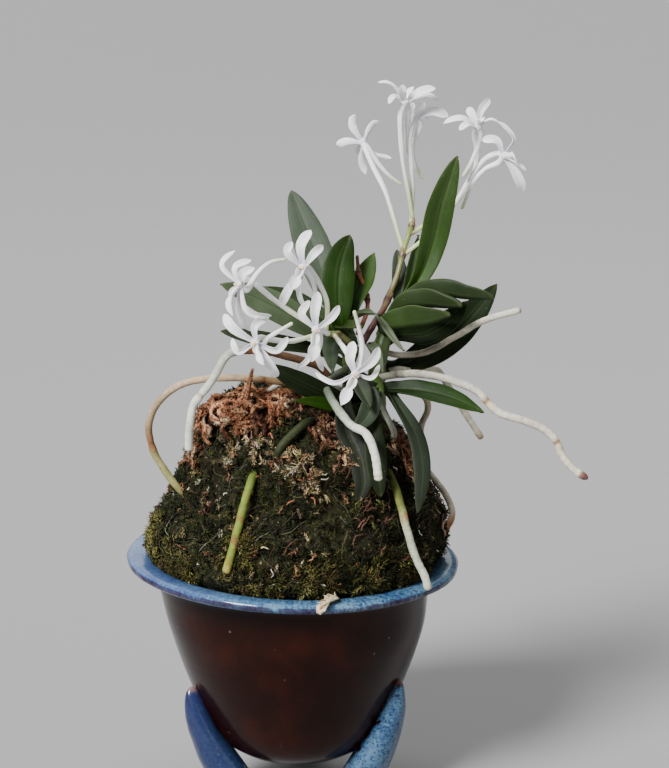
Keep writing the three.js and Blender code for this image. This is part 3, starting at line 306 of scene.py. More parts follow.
class Skin:
    """Gathers the closed surfaces of one piece: places, faces, places on the flat pattern, tint and mask."""

    def __init__(self):
        self.places = []
        self.tints = []
        self.masks = []
        self.faces = {4: [], 3: []}
        self.flats = {4: [], 3: []}
        self.count = 0

    def keep(self, places, tint, mask=0.0):
        """Adds places, and gives the number of the first."""
        first = self.count
        self.places.append(places.reshape(-1, 3))
        self.tints.append(np.broadcast_to(tint, places.shape).reshape(-1, 3))
        self.masks.append(np.broadcast_to(mask, places.shape[:-1]).reshape(-1))
        self.count += len(self.places[-1])
        return first

    def join(self, corners, flat):
        """Adds faces of three or four corners, with each corner's place on the flat pattern."""
        self.faces[corners.shape[-1]].append(corners.reshape(-1, corners.shape[-1]))
        self.flats[corners.shape[-1]].append(np.broadcast_to(flat, corners.shape + (2,)).reshape(-1, 2))

    def add(self, rings, tint, u=None, v=None, mask=0.0, ring_closed=False):
        """Rings joined by quads, with a fan over each end unless the last ring joins the first. A tint of two
        axes has one colour for each ring, or for each piece where rings has four axes. u is the place along
        it and v around it, on the flat pattern."""
        if np.ndim(tint) == 2:
            tint = np.expand_dims(tint, tuple(range(1, rings.ndim - 1)))
        shape = rings.shape if rings.ndim == 4 else (1,) + rings.shape
        tint = np.broadcast_to(tint, rings.shape).reshape(shape)
        mask = np.broadcast_to(mask, rings.shape[:-1]).reshape(shape[:-1])
        rings = rings.reshape(shape)
        pieces, n, m, _ = shape
        u = np.linspace(0, 1, n + ring_closed) if u is None else u
        v = np.linspace(0, 1, m + 1) if v is None else v
        index = self.keep(rings, tint, mask) + np.arange(pieces * n * m).reshape(pieces, n, m)
        here = index if ring_closed else index[:, :-1]
        ahead = np.roll(index, -1, 1) if ring_closed else index[:, 1:]
        grid_u = np.stack([u[:-1], u[:-1], u[1:], u[1:]], -1)[:, None]
        grid_v = np.stack([v[:-1], v[1:], v[1:], v[:-1]], -1)
        self.join(np.stack([here, np.roll(here, -1, 2), np.roll(ahead, -1, 2), ahead], -1),
                  np.stack(np.broadcast_arrays(grid_u, grid_v), -1))
        for ring, order in () if ring_closed else ((0, [0, 2, 1]), (-1, [0, 1, 2])):
            hub = self.keep(*(values[:, ring].mean(1) for values in (rings, tint, mask)))
            edge = index[:, ring]
            fan = np.stack([np.arange(hub, hub + pieces)[:, None] + 0 * edge, edge, np.roll(edge, -1, 1)], -1)
            spot = np.stack([0.5 * (v[:-1] + v[1:]), v[:-1], v[1:]], -1)
            spot = np.stack([np.full((m, 3), u[ring]), spot], -1)
            self.join(fan[..., order], spot[:, order])

    def add_scales(self, corners, tint):
        """Closed three-sided spikes: corners [spikes, 4, 3], the fourth of which is the tip. Painted shade
        darkens each foot and a painted highlight lightens each tip.
        """
        a, b, c, d = (corners[:, k] for k in range(4))
        outward = np.einsum("ij,ij->i", np.cross(b - a, c - a), d - a) < 0
        # The corner factors are painted shade at the foot and a painted highlight at the tip.
        first = self.keep(corners, tint[:, None] * np.array([0.8, 0.8, 0.55, 1.25])[:, None])
        faces = np.array([[0, 1, 3], [1, 2, 3], [2, 0, 3], [0, 2, 1]])
        shape = np.where(outward[:, None, None], faces, faces[:, [0, 2, 1]])
        self.join(first + 4 * np.arange(len(corners))[:, None, None] + shape, 0.0)

    def piece(self, name, material, replaced):
        """Makes the Blender object, from the places in millimetres around the pot's axis."""
        faces = [shape for sides in (4, 3) for shape in self.faces[sides]]
        sizes = np.concatenate([np.full(len(shape), shape.shape[1]) for shape in faces])
        corners = np.concatenate([shape.ravel() for shape in faces])
        shade = np.pad(np.clip(np.concatenate(self.tints), 0, 1), ((0, 0), (0, 1)), constant_values=1)

        def fill(layer, field, values, kind=np.float32):
            layer.foreach_set(field, values.astype(kind).ravel())

        mesh = bpy.data.meshes.new(name)
        mesh.vertices.add(self.count)
        fill(mesh.vertices, "co", np.concatenate(self.places) * MM + POT_AXIS)
        mesh.loops.add(len(corners))
        fill(mesh.loops, "vertex_index", corners, np.int32)
        mesh.polygons.add(len(sizes))
        fill(mesh.polygons, "loop_start", np.cumsum(sizes) - sizes, np.int32)
        fill(mesh.polygons, "use_smooth", np.ones(len(sizes)), bool)
        fill(mesh.uv_layers.new(name="flat").data, "uv", np.concatenate(self.flats[4] + self.flats[3]))
        fill(mesh.attributes.new("tint", "FLOAT_COLOR", "POINT").data, "color", shade)
        fill(mesh.attributes.new("mask", "FLOAT", "POINT").data, "value", np.concatenate(self.masks))
        mesh.update(calc_edges=True)
        mesh.validate()
        mesh.materials.append(material)
        made = place_object(name, mesh)
        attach(made, BODY)
        if replaced:
            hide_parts(*replaced)


# -------------------------------------------------------------------------------- node words


class Nodes:
    """The nodes of a material or of a node group, with short words for the steps that they take."""

    def __init__(self, tree):
        self.tree = tree

    def node(self, kind, feeds=None, **settings):
        """Adds a shader node, sets it, and feeds its inputs with numbers or with outputs of other nodes."""
        made = self.tree.nodes.new("ShaderNode" + kind)
        for key, value in settings.items():
            setattr(made, key, value)
        for key, value in (feeds or {}).items():
            if isinstance(value, bpy.types.NodeSocket):
                self.tree.links.new(value, made.inputs[key])
            else:
                made.inputs[key].default_value = value
        return made

    def math(self, operation, first, second=0.0, third=0.0):
        """One arithmetic step."""
        return self.node("Math", {0: first, 1: second, 2: third}, operation=operation).outputs[0]

    def times(self, first, second):
        """first * second."""
        return self.math("MULTIPLY", first, second)

    def plus(self, first, gain, rest):
        """first * gain + rest."""
        return self.math("MULTIPLY_ADD", first, gain, rest)

    def ramp(self, value, low, high, to_low=0.0, to_high=1.0):
        """value from low to high, smoothly taken to to_low to to_high."""
        feeds = {"Value": value, "From Min": low, "From Max": high, "To Min": to_low, "To Max": to_high}
        return self.node("MapRange", feeds, interpolation_type="SMOOTHSTEP").outputs["Result"]

    def split(self, vector):
        """The three numbers of a place."""
        return self.node("SeparateXYZ", {0: vector}).outputs

    def split_colour(self, shade):
        """The three numbers of a colour."""
        return self.node("SeparateColor", {"Color": shade}).outputs

    def noise(self, scale, detail=2.0, rough=0.5, at=None):
        """Smooth noise in the piece's own place, or in another."""
        place = self.place if at is None else at
        feeds = {"Vector": place, "Scale": scale, "Detail": detail, "Roughness": rough}
        return self.node("TexNoise", feeds).outputs["Fac"]

    def cells(self, scale, at):
        """How far a place is from the middle of its cell, and three random numbers of the cell."""
        made = self.node("TexVoronoi", {"Vector": at, "Scale": scale})
        return made.outputs["Distance"], self.split_colour(made.outputs["Color"])

    def lay(self, base, *layers):
        """base under layers (share, colour, strength). A colour in six digits or from a node covers what is
        under it, and one in three numbers multiplies it."""
        for share, over, strength in layers:
            blend = "MULTIPLY" if isinstance(over, tuple) else "MIX"
            if not isinstance(over, bpy.types.NodeSocket):
                over = (*(colour(over) if isinstance(over, str) else over), 1.0)
            feeds = {0: share if strength == 1 else self.times(share, strength), 6: base, 7: over}
            base = self.node("Mix", feeds, data_type="RGBA", clamp_factor=True, blend_type=blend).outputs[2]
        return base


class Group(Nodes):
    """A shader node group with its entry and exit. Its sockets are given as name and kind."""

    def __init__(self, name, inputs, outputs):
        super().__init__(bpy.data.node_groups.new(name, "ShaderNodeTree"))
        for way, sockets in (("INPUT", inputs), ("OUTPUT", outputs)):
            for label, kind in sockets.items():
                self.tree.interface.new_socket(name=label, in_out=way, socket_type="NodeSocket" + kind)
        self.entry = self.tree.nodes.new("NodeGroupInput").outputs
        self.exit = self.tree.nodes.new("NodeGroupOutput").inputs
        self.place = self.entry[0]

    def leave(self, **results):
        """Links the results to the exit."""
        for label, value in results.items():
            self.tree.links.new(value, self.exit[label])
        return self.tree


def build_mottle():
    """Colour times 1 + 2 strength (noise - 0.5), of a coarse noise and one 4.3 times finer."""
    g = Group("mottle", dict(Place="Vector", Colour="Color", Scale="Float", Strength="Float"),
              dict(Colour="Color", Value="Float"))
    fine = g.noise(g.times(g.entry["Scale"], 4.3), 2)
    both = g.plus(g.noise(g.entry["Scale"], 3), 0.65, g.times(fine, 0.35))
    gain = g.plus(g.math("SUBTRACT", both, 0.5), g.times(g.entry["Strength"], 2.0), 1.0)
    scaled = g.node("VectorMath", {0: g.entry["Colour"], "Scale": gain}, operation="SCALE").outputs["Vector"]
    return g.leave(Colour=scaled, Value=both)


def build_specks():
    """1 in small round spots, 0 outside: cells whose own random number is below Cover, near their middle."""
    g = Group("specks", dict(Place="Vector", Scale="Float", Cover="Float"), dict(Mask="Float"))
    distance, own = g.cells(g.entry["Scale"], g.place)
    chosen = g.math("LESS_THAN", own[0], g.entry["Cover"])
    return g.leave(Mask=g.times(chosen, g.ramp(distance, 0.16, 0.34, 1.0, 0.0)))


def build_lanes():
    """Lines that run the length of a blade or root: a wave across it, whose phase wanders slowly along it."""
    g = Group("lanes", dict(Flat="Vector", Lines="Float", Wander="Float", Seed="Float"), dict(Value="Float"))
    run, across, _ = g.split(g.entry["Flat"])
    drift = g.node("CombineXYZ", {0: g.times(run, 3.0), 1: g.times(across, 9.0), 2: g.entry["Seed"]})
    wander = g.times(g.noise(1.0, at=drift.outputs[0]), g.entry["Wander"])
    phase = g.plus(across, g.entry["Lines"], wander)
    return g.leave(Value=g.plus(g.math("SINE", g.times(phase, 2 * math.pi)), 0.5, 0.5))


def build_grain():
    """Height of a fine grain: two noises, the second three times finer."""
    g = Group("grain", dict(Place="Vector", Scale="Float"), dict(Height="Float"))
    finer = g.noise(g.times(g.entry["Scale"], 3.0))
    return g.leave(Height=g.plus(finer, 0.4, g.noise(g.entry["Scale"], 3)))


MOTTLE = build_mottle()
SPECKS = build_specks()
LANES = build_lanes()
GRAIN = build_grain()


class Finish(Nodes):
    """A material with its shader, the piece's tint and mask, its own coordinates and its flat pattern."""

    def __init__(self, name, **constants):
        self.material = bpy.data.materials.new(name)
        self.material.use_nodes = True
        super().__init__(self.material.node_tree)
        self.tree.nodes.clear()
        constants = {key.replace("_", " "): value for key, value in constants.items()}
        self.shader = self.node("BsdfPrincipled", constants)
        self.node("OutputMaterial", {"Surface": self.shader.outputs[0]})
        coordinates = self.node("TexCoord").outputs
        self.place = coordinates["Object"]
        self.flat = coordinates["UV"]
        self.tint = self.node("Attribute", attribute_name="tint").outputs["Color"]
        self.mask = self.node("Attribute", attribute_name="mask").outputs["Fac"]

    def use(self, group, **feeds):
        """Places a node group in the material, and gives its outputs."""
        return self.node("Group", feeds, node_tree=group).outputs

    def mottle(self, shade, scale, strength):
        """A colour and its mottling's value."""
        return self.use(MOTTLE, Place=self.place, Colour=shade, Scale=scale, Strength=strength)

    def specks(self, scale, cover):
        """Small round spots."""
        return self.use(SPECKS, Place=self.place, Scale=scale, Cover=cover)[0]

    def lanes(self, lines, wander, seed):
        """Lengthwise lines on the flat pattern."""
        return self.use(LANES, Flat=self.flat, Lines=lines, Wander=wander, Seed=seed)[0]

    def grain(self, scale):
        """A fine grain's height."""
        return self.use(GRAIN, Place=self.place, Scale=scale)[0]

    def stretched(self, along_scale, around_scale):
        """Places on the flat pattern, stretched along and around it."""
        feeds = {"Vector": self.flat, "Scale": (along_scale, around_scale, 1.0)}
        return self.node("Mapping", feeds).outputs[0]

    def done(self, base, relief, strength, distance, **values):
        """Links the colour and other values to the shader, and raises the surface by relief, in metres times
        distance."""
        bump = self.node("Bump", {"Height": relief, "Strength": strength, "Distance": distance})
        for key, value in dict(Base_Color=base, Normal=bump.outputs[0], **values).items():
            self.tree.links.new(value, self.shader.inputs[key.replace("_", " ")])
        return self.material


# -------------------------------------------------------------------------------- finishes


def glaze():
    """Thick blue glaze where the mask is 1, over a glossy brown-black one where it is 0. The blue is clouded,
    violet towards one side and speckled towards the other, and breaks to brown where it thins. On the feet it
    is darkened by painted shade, more towards the violet side, where the deep violet-blue is also the glaze's
    own.
    The red of the tint is how bare the clay is, at the points of the feet."""
    f = Finish("glaze_of_pot", IOR=1.5, Specular_IOR_Level=0.13, Coat_Roughness=0.07)
    x, _, z = f.split(f.place)
    rightward = f.ramp(x, -0.062, 0.012)
    # low is 1 on the feet, below the bowl, where the blue is darkened by painted shade.
    low = f.ramp(z, 0.05, 0.066, 1.0, 0.0)
    clouds = f.noise(62.0, 5, 0.62)
    broad = f.noise(30.0)
    streaks = f.noise(1.0, at=f.stretched(330.0, 20.0))
    fine = f.noise(1000.0, 3, 0.7)
    level = f.plus(fine, 0.6, f.plus(streaks, 0.3, f.plus(clouds, 0.55, 0.15)))
    level = f.plus(rightward, 0.05, level)
    shades = f.node("ValToRGB", {"Fac": f.ramp(level, 0.61, 1.04)})
    stops = shades.color_ramp.elements
    for at, shade in zip(*swatches("0 1c3767, 1 6488a6, 0.3 294b76, 0.55 385d87, 0.8 496f93")):
        stop = stops[int(at)] if at in (0, 1) else stops.new(at)
        stop.color = (*shade, 1)
    violet = f.times(f.ramp(broad, 0.48, 0.66), f.ramp(rightward, 0.2, 0.9, 0.5, 0.06))
    # deep darkens the feet more towards the violet side: painted shade, over the glaze's own deep
    # violet-blue.
    deep = f.times(low, f.math("SUBTRACT", 1.0, rightward))
    flecks = f.plus(streaks, 0.35, f.noise(1150.0, 2, 0.6))
    dots = f.math("MAXIMUM", f.specks(640.0, 0.4), f.ramp(flecks, 0.55, 0.62, 1.0, 0.0))
    dots = f.times(dots, f.plus(rightward, 0.7, 0.12))
    blue = f.lay(shades.outputs["Color"], (rightward, (1.0, 1.0, 0.86), 0.7), (violet, "383f72", 1),
                 (low, (0.5, 0.54, 0.64), 0.8), (deep, "1d2146", 0.88), (dots, "14284a", 1),
                 (f.specks(560.0, 0.05), "33304a", 0.6), (f.ramp(fine, 0.62, 0.76), "86a5bd", 0.25))
    brown = f.mottle((*colour("1d0803"), 1.0), 60.0, 0.7)[0]
    brown = f.lay(brown, (f.ramp(clouds, 0.45, 0.7), "331107", 0.5), (f.specks(640.0, 0.012), "8a7d74", 0.3))
    ragged = f.plus(f.math("SUBTRACT", level, 0.9), 0.45, f.mask)
    cover = f.ramp(ragged, 0.42, 0.52)
    rim = f.times(f.ramp(ragged, 0.38, 0.48), f.ramp(ragged, 0.52, 0.7, 1.0, 0.0))
    whole = f.lay(brown, (cover, blue, 1), (rim, "2e2541", 0.85), (f.split_colour(f.tint)[0], "8d6e66", 0.8))
    relief = f.times(f.plus(dots, -0.4, f.times(fine, 0.7)), f.plus(cover, 0.8, 0.2))
    return f.done(whole, relief, 0.4, 0.00022, Coat_Weight=f.plus(cover, 0.5, 0.04),
                  Roughness=f.plus(cover, 0.12, f.plus(fine, 0.12, 0.12)))


def leaf_finish(name, gloss, shine, seed):
    """A leaf: its tint with fine parallel veins, a dark line along the fold, a pale hard margin, faint cross
    banding and dust. The underside, where the mask is 1, is paler and duller."""
    f = Finish(name, Specular_IOR_Level=shine)
    off = f.math("ABSOLUTE", f.plus(f.split(f.flat)[1], 2.0, -1.0))
    wide = f.lanes(9.0, 2.2, seed)
    fine = f.lanes(31.0, 1.4, seed + 4.0)
    blot = f.noise(420.0, 3)
    flank = f.times(f.ramp(off, 0.05, 0.1), f.ramp(off, 0.12, 0.3, 1.0, 0.0))
    base = f.lay(f.mottle(f.tint, 130.0, 0.5)[0], (wide, (0.42, 0.5, 0.4), 0.2),
                 (fine, (0.5, 0.56, 0.45), 0.16),
                 (f.ramp(off, 0.0, 0.055, 1.0, 0.0), (0.3, 0.36, 0.22), 0.55),
                 (flank, "6f7d55", 0.07), (f.ramp(off, 0.945, 0.985), "66724a", 0.26))
    under = f.lay(base, (0.2, "465238", 1))
    base = f.lay(base, (f.mask, under, 0.75), (f.specks(1500.0, 0.035), "a8ab9b", 0.13))
    relief = f.plus(fine, 0.3, f.plus(wide, 0.15, f.times(blot, 0.6)))
    return f.done(base, relief, 0.35, 0.00014, Roughness=f.plus(f.mask, 0.12, f.plus(blot, 0.22, gloss)))


def petal_finish():
    """A petal: white, faintly translucent, with soft lengthwise furrows and a fine sparkling grain."""
    f = Finish("petal_white", Subsurface_Weight=0.08, Subsurface_Scale=0.0006, Roughness=0.45,
               Subsurface_Radius=(1.0, 0.9, 0.85))
    furrow = f.lanes(6.0, 0.5, 2.0)
    fine = f.lanes(17.0, 0.8, 5.0)
    base = f.lay(f.mottle(f.tint, 260.0, 0.1)[0], (furrow, (0.68, 0.66, 0.76), 0.1),
                 (fine, (0.75, 0.74, 0.78), 0.07))
    relief = f.plus(furrow, 1.0, f.plus(fine, 0.4, f.times(f.grain(2600.0), 0.4)))
    return f.done(base, relief, 0.3, 0.00012)


def root_finish():
    """An aerial root: its tint under a chalky skin with flecks, lengthwise wrinkles and small dark pits."""
    f = Finish("root_skin", Specular_IOR_Level=0.3)
    wrinkle = f.noise(1.0, 4, 0.6, f.stretched(46.0, 9.0))
    chalk = f.noise(700.0, 3)
    pits = f.specks(680.0, 0.09)
    base = f.lay(f.mottle(f.tint, 210.0, 0.45)[0],
                 (f.ramp(wrinkle, 0.52, 0.7, 0.0, 0.45), (0.52, 0.44, 0.33), 1),
                 (f.times(f.mask, f.ramp(chalk, 0.5, 0.72, 0.0, 0.4)), "e8e6dc", 1), (pits, "6b5a44", 0.4))
    relief = f.plus(wrinkle, 1.2, f.plus(pits, -0.6, f.grain(1500.0)))
    return f.done(base, relief, 0.6, 0.00026, Roughness=f.plus(chalk, 0.25, 0.5))


def stalk_finish():
    """A stalk or stem: its tint with fine ridges, small dark freckles and a waxy gloss."""
    f = Finish("stalk_skin")
    ridges = f.lanes(11.0, 0.7, 1.0)
    grain = f.grain(1700.0)
    base = f.lay(f.mottle(f.tint, 330.0, 0.6)[0], (ridges, (0.55, 0.5, 0.42), 0.25),
                 (f.specks(1300.0, 0.16), "4a2f2a", 0.4))
    return f.done(base, f.plus(ridges, 0.7, grain), 0.35, 0.00012, Roughness=f.plus(grain, 0.12, 0.34))


def moss_finish(name, rough, contrast, damp):
    """Moss or dead fibre: its tint, mottled between strands and along each, with a damp or dry gloss."""
    f = Finish(name, Specular_IOR_Level=damp)
    shade, value = f.mottle(f.tint, 520.0, contrast)
    base = f.mottle(shade, 90.0, 0.5)[0]
    return f.done(base, f.grain(2400.0), 0.5, 0.00015, Roughness=f.plus(value, 0.25, rough))


def packed_finish():
    """Packed moss between the shoots: dark, with the relief and the specks of tiny leaves and strands."""
    f = Finish("moss_packed", Specular_IOR_Level=0.15, Roughness=0.85)
    warp = f.node("TexNoise", {"Vector": f.place, "Scale": 300.0}).outputs["Color"]
    bent = f.node("VectorMath", {0: warp, "Scale": 0.004}, operation="SCALE").outputs[0]
    distance, own = f.cells(950.0, f.node("VectorMath", {0: f.place, 1: bent}, operation="ADD").outputs[0])
    green = f.times(f.ramp(own[0], 0.45, 0.9), f.ramp(distance, 0.1, 0.6, 0.85, 0.0))
    tan = f.times(f.ramp(own[1], 0.86, 0.9), f.ramp(distance, 0.1, 0.4, 0.8, 0.0))
    base = f.lay(f.mottle(f.tint, 420.0, 1.0)[0], (green, "4a4d26", 1), (tan, "7a6a48", 1))
    return f.done(base, f.plus(distance, -0.9, f.times(own[2], 0.6)), 0.9, 0.0007)


GLAZE = glaze()
PACKED = packed_finish()
LEAF_FINISHES = {
    kind: leaf_finish(f"leaf_{kind}_green", gloss, shine, seed)
    for kind, gloss, shine, seed in (("bright", 0.36, 0.16, 1.0), ("mid", 0.34, 0.2, 7.0),
                                     ("dark", 0.42, 0.12, 13.0), ("grey", 0.46, 0.3, 19.0))
}
PETAL = petal_finish()
ROOT = root_finish()
STALK = stalk_finish()
MOSS = moss_finish("moss_living", 0.55, 0.9, 0.22)
DEAD_MOSS = moss_finish("moss_dead", 0.62, 0.7, 0.25)
PALE_MOSS = moss_finish("moss_pale", 0.62, 0.5, 0.3)

# -------------------------------------------------------------------------------- pot


def rows_of(text):
    """The rows of numbers of a list such as "18 -2 122, 19 0 142.5"."""
    return [np.array(row.split(), float) for row in text.split(",")]


RIM_TOP = 78.6
# Round the section of the bowl: radius, height.
BOWL = rows_of(
    "9 11.5, 12 11.5, 15.5 11.5, 20.4 13.6, 24.6 16.4, 28.4 21.2, 31.6 27.4, 35.4 36.4, 39 46, 42.2 57, "
    "44 68, 45.4 73, 49 75, 52.6 75.4, 54 76.7, 53.3 78.2, 51 78.6, 46.4 78.2, 43 76.2, 41 72.4, 37 52, "
    "29.6 31, 19.5 17.8, 9 16")
BOWL_OUTSIDE = [place[::-1] for place in BOWL[2:12]]
# Each foot: azimuth at the ground, azimuth of its point, height of its point.
FEET = [(210, 203, 38), (328, 333, 41.5), (88, 86, 41.5)]
FOOT_TOP = 41.5
# Up a foot: height, inner radius, outer radius, half width.
FOOT_RINGS = rows_of("0 16 28.5 7, 5 17 31 8, 11 20 34 8, 18 24 36.6 7, 26 29 38.6 5.6, 33 32 39.6 3.8, "
                     "38 34 39.2 2, 41.5 36 38.2 0.6")


def hand_thrown(places):
    """The lip is a little out of level and the body sits a little to the right of it: x + 1.3 (1 - lip), and
    z - 0.03 x lip (1 - above), where lip rises from z 52 to the lip and above from 2 to 20 over it."""
    x, y, z = np.moveaxis(places, -1, 0)
    lip = smoothstep(z, 52, RIM_TOP)
    above = smoothstep(z, RIM_TOP + 2, RIM_TOP + 20)
    return np.stack([x + 1.3 * (1 - lip), y, z - 0.03 * x * lip * (1 - above)], -1)


def make_pot():
    """The bowl is its section, a smooth closed curve, turned about the axis, with faint throwing rings and a
    soft unevenness of the lip. Each foot is a smooth closed outline that rises and shrinks to its point,
    while it swings from its azimuth at the ground to that of its point."""
    skin = Skin()
    share = np.linspace(0, 1, 116)
    r, _, z = spline([(radius, 0, height) for radius, height in BOWL], share)[0].T
    angle = -turns(160)[:, None]
    out = polar(1.0, angle, 0.0)
    places = polar(r, angle, z)
    swell = 0.03 * np.sin(z * 1.7) * smoothstep(z, 20, 30)
    swell = swell + 0.12 * ripple(places, 30.0, 6) * smoothstep(z, 14, 22)
    outside = (share < 0.47) * (r < 45.4) * smoothstep(z, 12, 16)
    places = places + out * ((np.minimum(swell, 0.13) - 0.14) * outside)[..., None]
    places[..., 2] += np.minimum(0.22 * ripple(places, 46.0, 5), 0.1) * (z > 75.4)
    places = hand_thrown(places)
    edge = bell(np.abs(r - 53.7), 0.5) * (z > 75.8)
    thin = ripple(places, 7.0, 8) * 0.1 + ripple(places, 2.6, 9) * 0.07
    lip = smoothstep(z, 73.0, 75.2) * smoothstep(r, 40.6, 42.0)
    outer = smoothstep(r, 52.9, 53.6) * smoothstep(-z, -78.1, -77.3)
    mask = np.where(lip > 0.02, lip - 0.1 * edge - 0.4 * outer + 0.8 * thin, 0.0)
    skin.add(places, np.zeros(3), mask=mask, ring_closed=True)
    levels = np.concatenate([[0.0, 0.12, 0.5], np.linspace(1.4, 39.5, 44), [40.3, 41.0, 41.35, FOOT_TOP]])
    height, *edges = np.transpose(FOOT_RINGS)
    inner, outer, half = (eased(np.transpose([height, edge]), levels)[:, None] for edge in edges)
    inset = np.append([0.7, 0.25], np.zeros(len(levels) - 2))[:, None]
    closing = np.append(np.ones(len(levels) - 4), [0.9, 0.66, 0.36, 0.05])[:, None]
    t = np.linspace(0, 2 * math.pi, 40, endpoint=False)
    cos_t, sin_t = (np.sign(wave) * np.abs(wave) ** 0.85 for wave in (np.cos(t), np.sin(t)))
    for ground, point, tall in FEET:
        out = polar(1.0, np.radians(mix(ground, point, levels / FOOT_TOP))[:, None], 0.0)
        heights = (levels * tall / FOOT_TOP)[:, None]
        wide = (half - inset) * closing * (1 - 0.18 * cos_t**2)
        reach = 0.5 * (outer + inner) + (0.5 * (outer - inner) - inset) * closing * cos_t
        ring = out * reach[..., None] + np.cross([0, 0, 1.0], out) * (wide * sin_t)[..., None]
        ring[..., 2] = heights
        ring = ring + out * (np.minimum(0.14 * ripple(ring, 9.0, 20), 0.04) * (heights > 2))[..., None]
        stand = np.hypot(ring[..., 0], ring[..., 1]) - along(BOWL_OUTSIDE, ring[..., 2])
        worn = 1.0 if ground > 300 else 0.0
        bare = 1 - smoothstep(stand, -0.2, 0.9 + 3.4 * worn)
        bare = bare * (0.35 + 0.45 * worn) * (0.5 + 1.1 * ripple(ring, 3.4, 23))
        mask = 0.95 - np.clip(bare, 0, 0.7) + 0.06 * ripple(ring, 5.0, 21)
        mask = mask - 0.4 * smoothstep(-heights, -2.2, -0.2)
        clay = smoothstep(levels, 39.2, 41.0)[:, None] * np.array([1.0, 0, 0])
        skin.add(hand_thrown(ring), clay, heights[:, 0] / 90.0, np.linspace(0, 0.4, 41), mask)
    skin.piece("pot_glazed", GLAZE, ["pot"])


make_pot()

# -------------------------------------------------------------------------------- stems, stalks

STEMS = {
    "left": rows_of("18 -2 122, 19 0 142.5, 17.5 -2 153.5, 16.5 -3 159.5"),
    "right": rows_of("27.5 1 120, 27.5 0 142.5, 30.5 2 153.5, 34.5 4 162"),
    "front": rows_of("23.5 -9 120, 24 -9 134, 26 -13.5 139, 28 -19.5 137"),
}
STALKS = {
    "high": rows_of("22.5 -1 149, 27 4 155.5, 29.5 8 158.5, 31.5 12 162.5, 34 15 168, 36 18 175.5, "
                    "37.5 19 180, 39 20 184.5"),
    "low": rows_of("20.5 -3 147.5, 15.5 -12 154, 12 -20 156.5, 9.5 -26 158.5"),
}
LAST_YEARS_STALK = rows_of("21 -2 152, 24 2 159, 23.8 4 164, 21.4 6 170.7, 20.8 7 176.1")
SCALE_SHAPE = rows_of("0 0.75, 0.3 1, 0.6 0.7, 0.85 0.35, 1 0.03")


def make_stem(name, axis, seed):
    """A stem: overlapping old leaf bases. Its radius steps out at each of five sheaths and tapers to the
    next, and each sheath is highest on one side, left and right in turn."""
    skin = Skin()
    turn = turns(26)
    u, factor = round_ends(90, length_of(axis), 1.2, 1.2)
    centre, ahead, _ = spline(axis, u)
    lean = 0.03 * np.cos(turn) * np.sign(np.sin(u * 5 * math.pi))[:, None]
    phase = np.mod((u[:, None] + lean) * 5.5, 1.0)
    radius = along(rows_of("0 2.4, 0.3 3.1, 0.75 2.7, 1 1.4"), u) * factor
    radius = radius[:, None] * (1.05 - 0.16 * phase)
    out = spokes(ahead, turn)
    rings = centre[:, None] + out * (radius * (1 + 0.05 * np.cos(2 * turn)))[..., None]
    rings = rings + out * (0.05 * ripple(rings, 1.6, seed))[..., None]
    # Dark, and darker and browner towards the foot: painted shade, for the shadow of the leaves over the
    # stem.
    tint = tones("0 3a3a20, 0.35 465226, 0.7 3f5a22, 1 4c662a", u)[:, None]
    dry = smoothstep(phase, 0.82, 0.97)[..., None] * 0.55
    skin.add(rings, mix(tint, colour("6f6642"), dry), u)
    skin.piece(name + "_sheathed", STALK, [name])


def scale_section(u, s, half):
    """A clasping scale across: a trough of height half s^2 / 2, with thin edges."""
    return half * s, 0.5 * half * s * s, 0.28 * (1 - s * s) ** 0.5


def make_stalk(name, axis, joints, stops, thick, thin, scales):
    """A flower stalk: a slowly tapering tube that swells at its joints, each with a small pointed scale that
    clasps it."""
    skin = Skin()
    radius = lambda u: (mix(thick, thin, u) + 0.34 * bumps(joints, 0.035, u)) * (1 + 0.03 * np.sin(u * 60))
    rings, u = tube(axis, radius, 110, 18, end=0.8, wrinkle=0.03, seed=31)
    knot = np.clip(0.85 * bumps(joints, 0.022, u), 0, 1)[:, None]
    skin.add(rings, mix(tones(stops, u), colour("4f2430"), knot), u)
    for number, (joint, size) in enumerate(zip(joints, scales)):
        (foot,), (ahead,), _ = spline(axis, [joint])
        level = np.array([math.cos(2.4 * number), -abs(math.sin(2.4 * number)) - 0.3, 0.2])
        out = unit(level - ahead * (level @ ahead))
        foot = foot + out * mix(thick, thin, joint) * 0.6
        heading = size * unit(ahead + 0.35 * out)
        path = [foot, foot + 0.5 * heading, foot + heading - 0.25 * size * out]
        half = lambda w: 0.95 * eased(SCALE_SHAPE, w)
        rings, u, v, _, _ = blade(path, half, scale_section, -out, -out, 12, 7)
        skin.add(rings, colour("7a6a44"), u, v)
    skin.piece(name + "_jointed", STALK, [name])


for number, (side, axis) in enumerate(STEMS.items()):
    make_stem("stem_" + side, axis, 41 + number)
make_stalk("flower_stalk_high", STALKS["high"], [0.4, 0.75, 0.97],
           "0 4b3024, 0.25 5a3030, 0.32 6a4a38, 0.4 736542, 0.66 6f6f40, 0.8 86924f, 1 8fa556",
           1.15, 0.8, (3.4, 3.0, 2.4))
make_stalk("flower_stalk_low", STALKS["low"], [0.5, 0.97], "0 7f7a48, 0.5 a3a86a, 1 b4bc80",
           1.15, 0.8, (2.8, 2.2))
make_stalk("dry_flower_stalk", LAST_YEARS_STALK, [0.45, 0.8], "0 7a4429, 0.4 96522f, 0.7 a8673f, 1 6f4a30",
           0.8, 0.55, (2.2, 1.8))

# -------------------------------------------------------------------------------- blooms

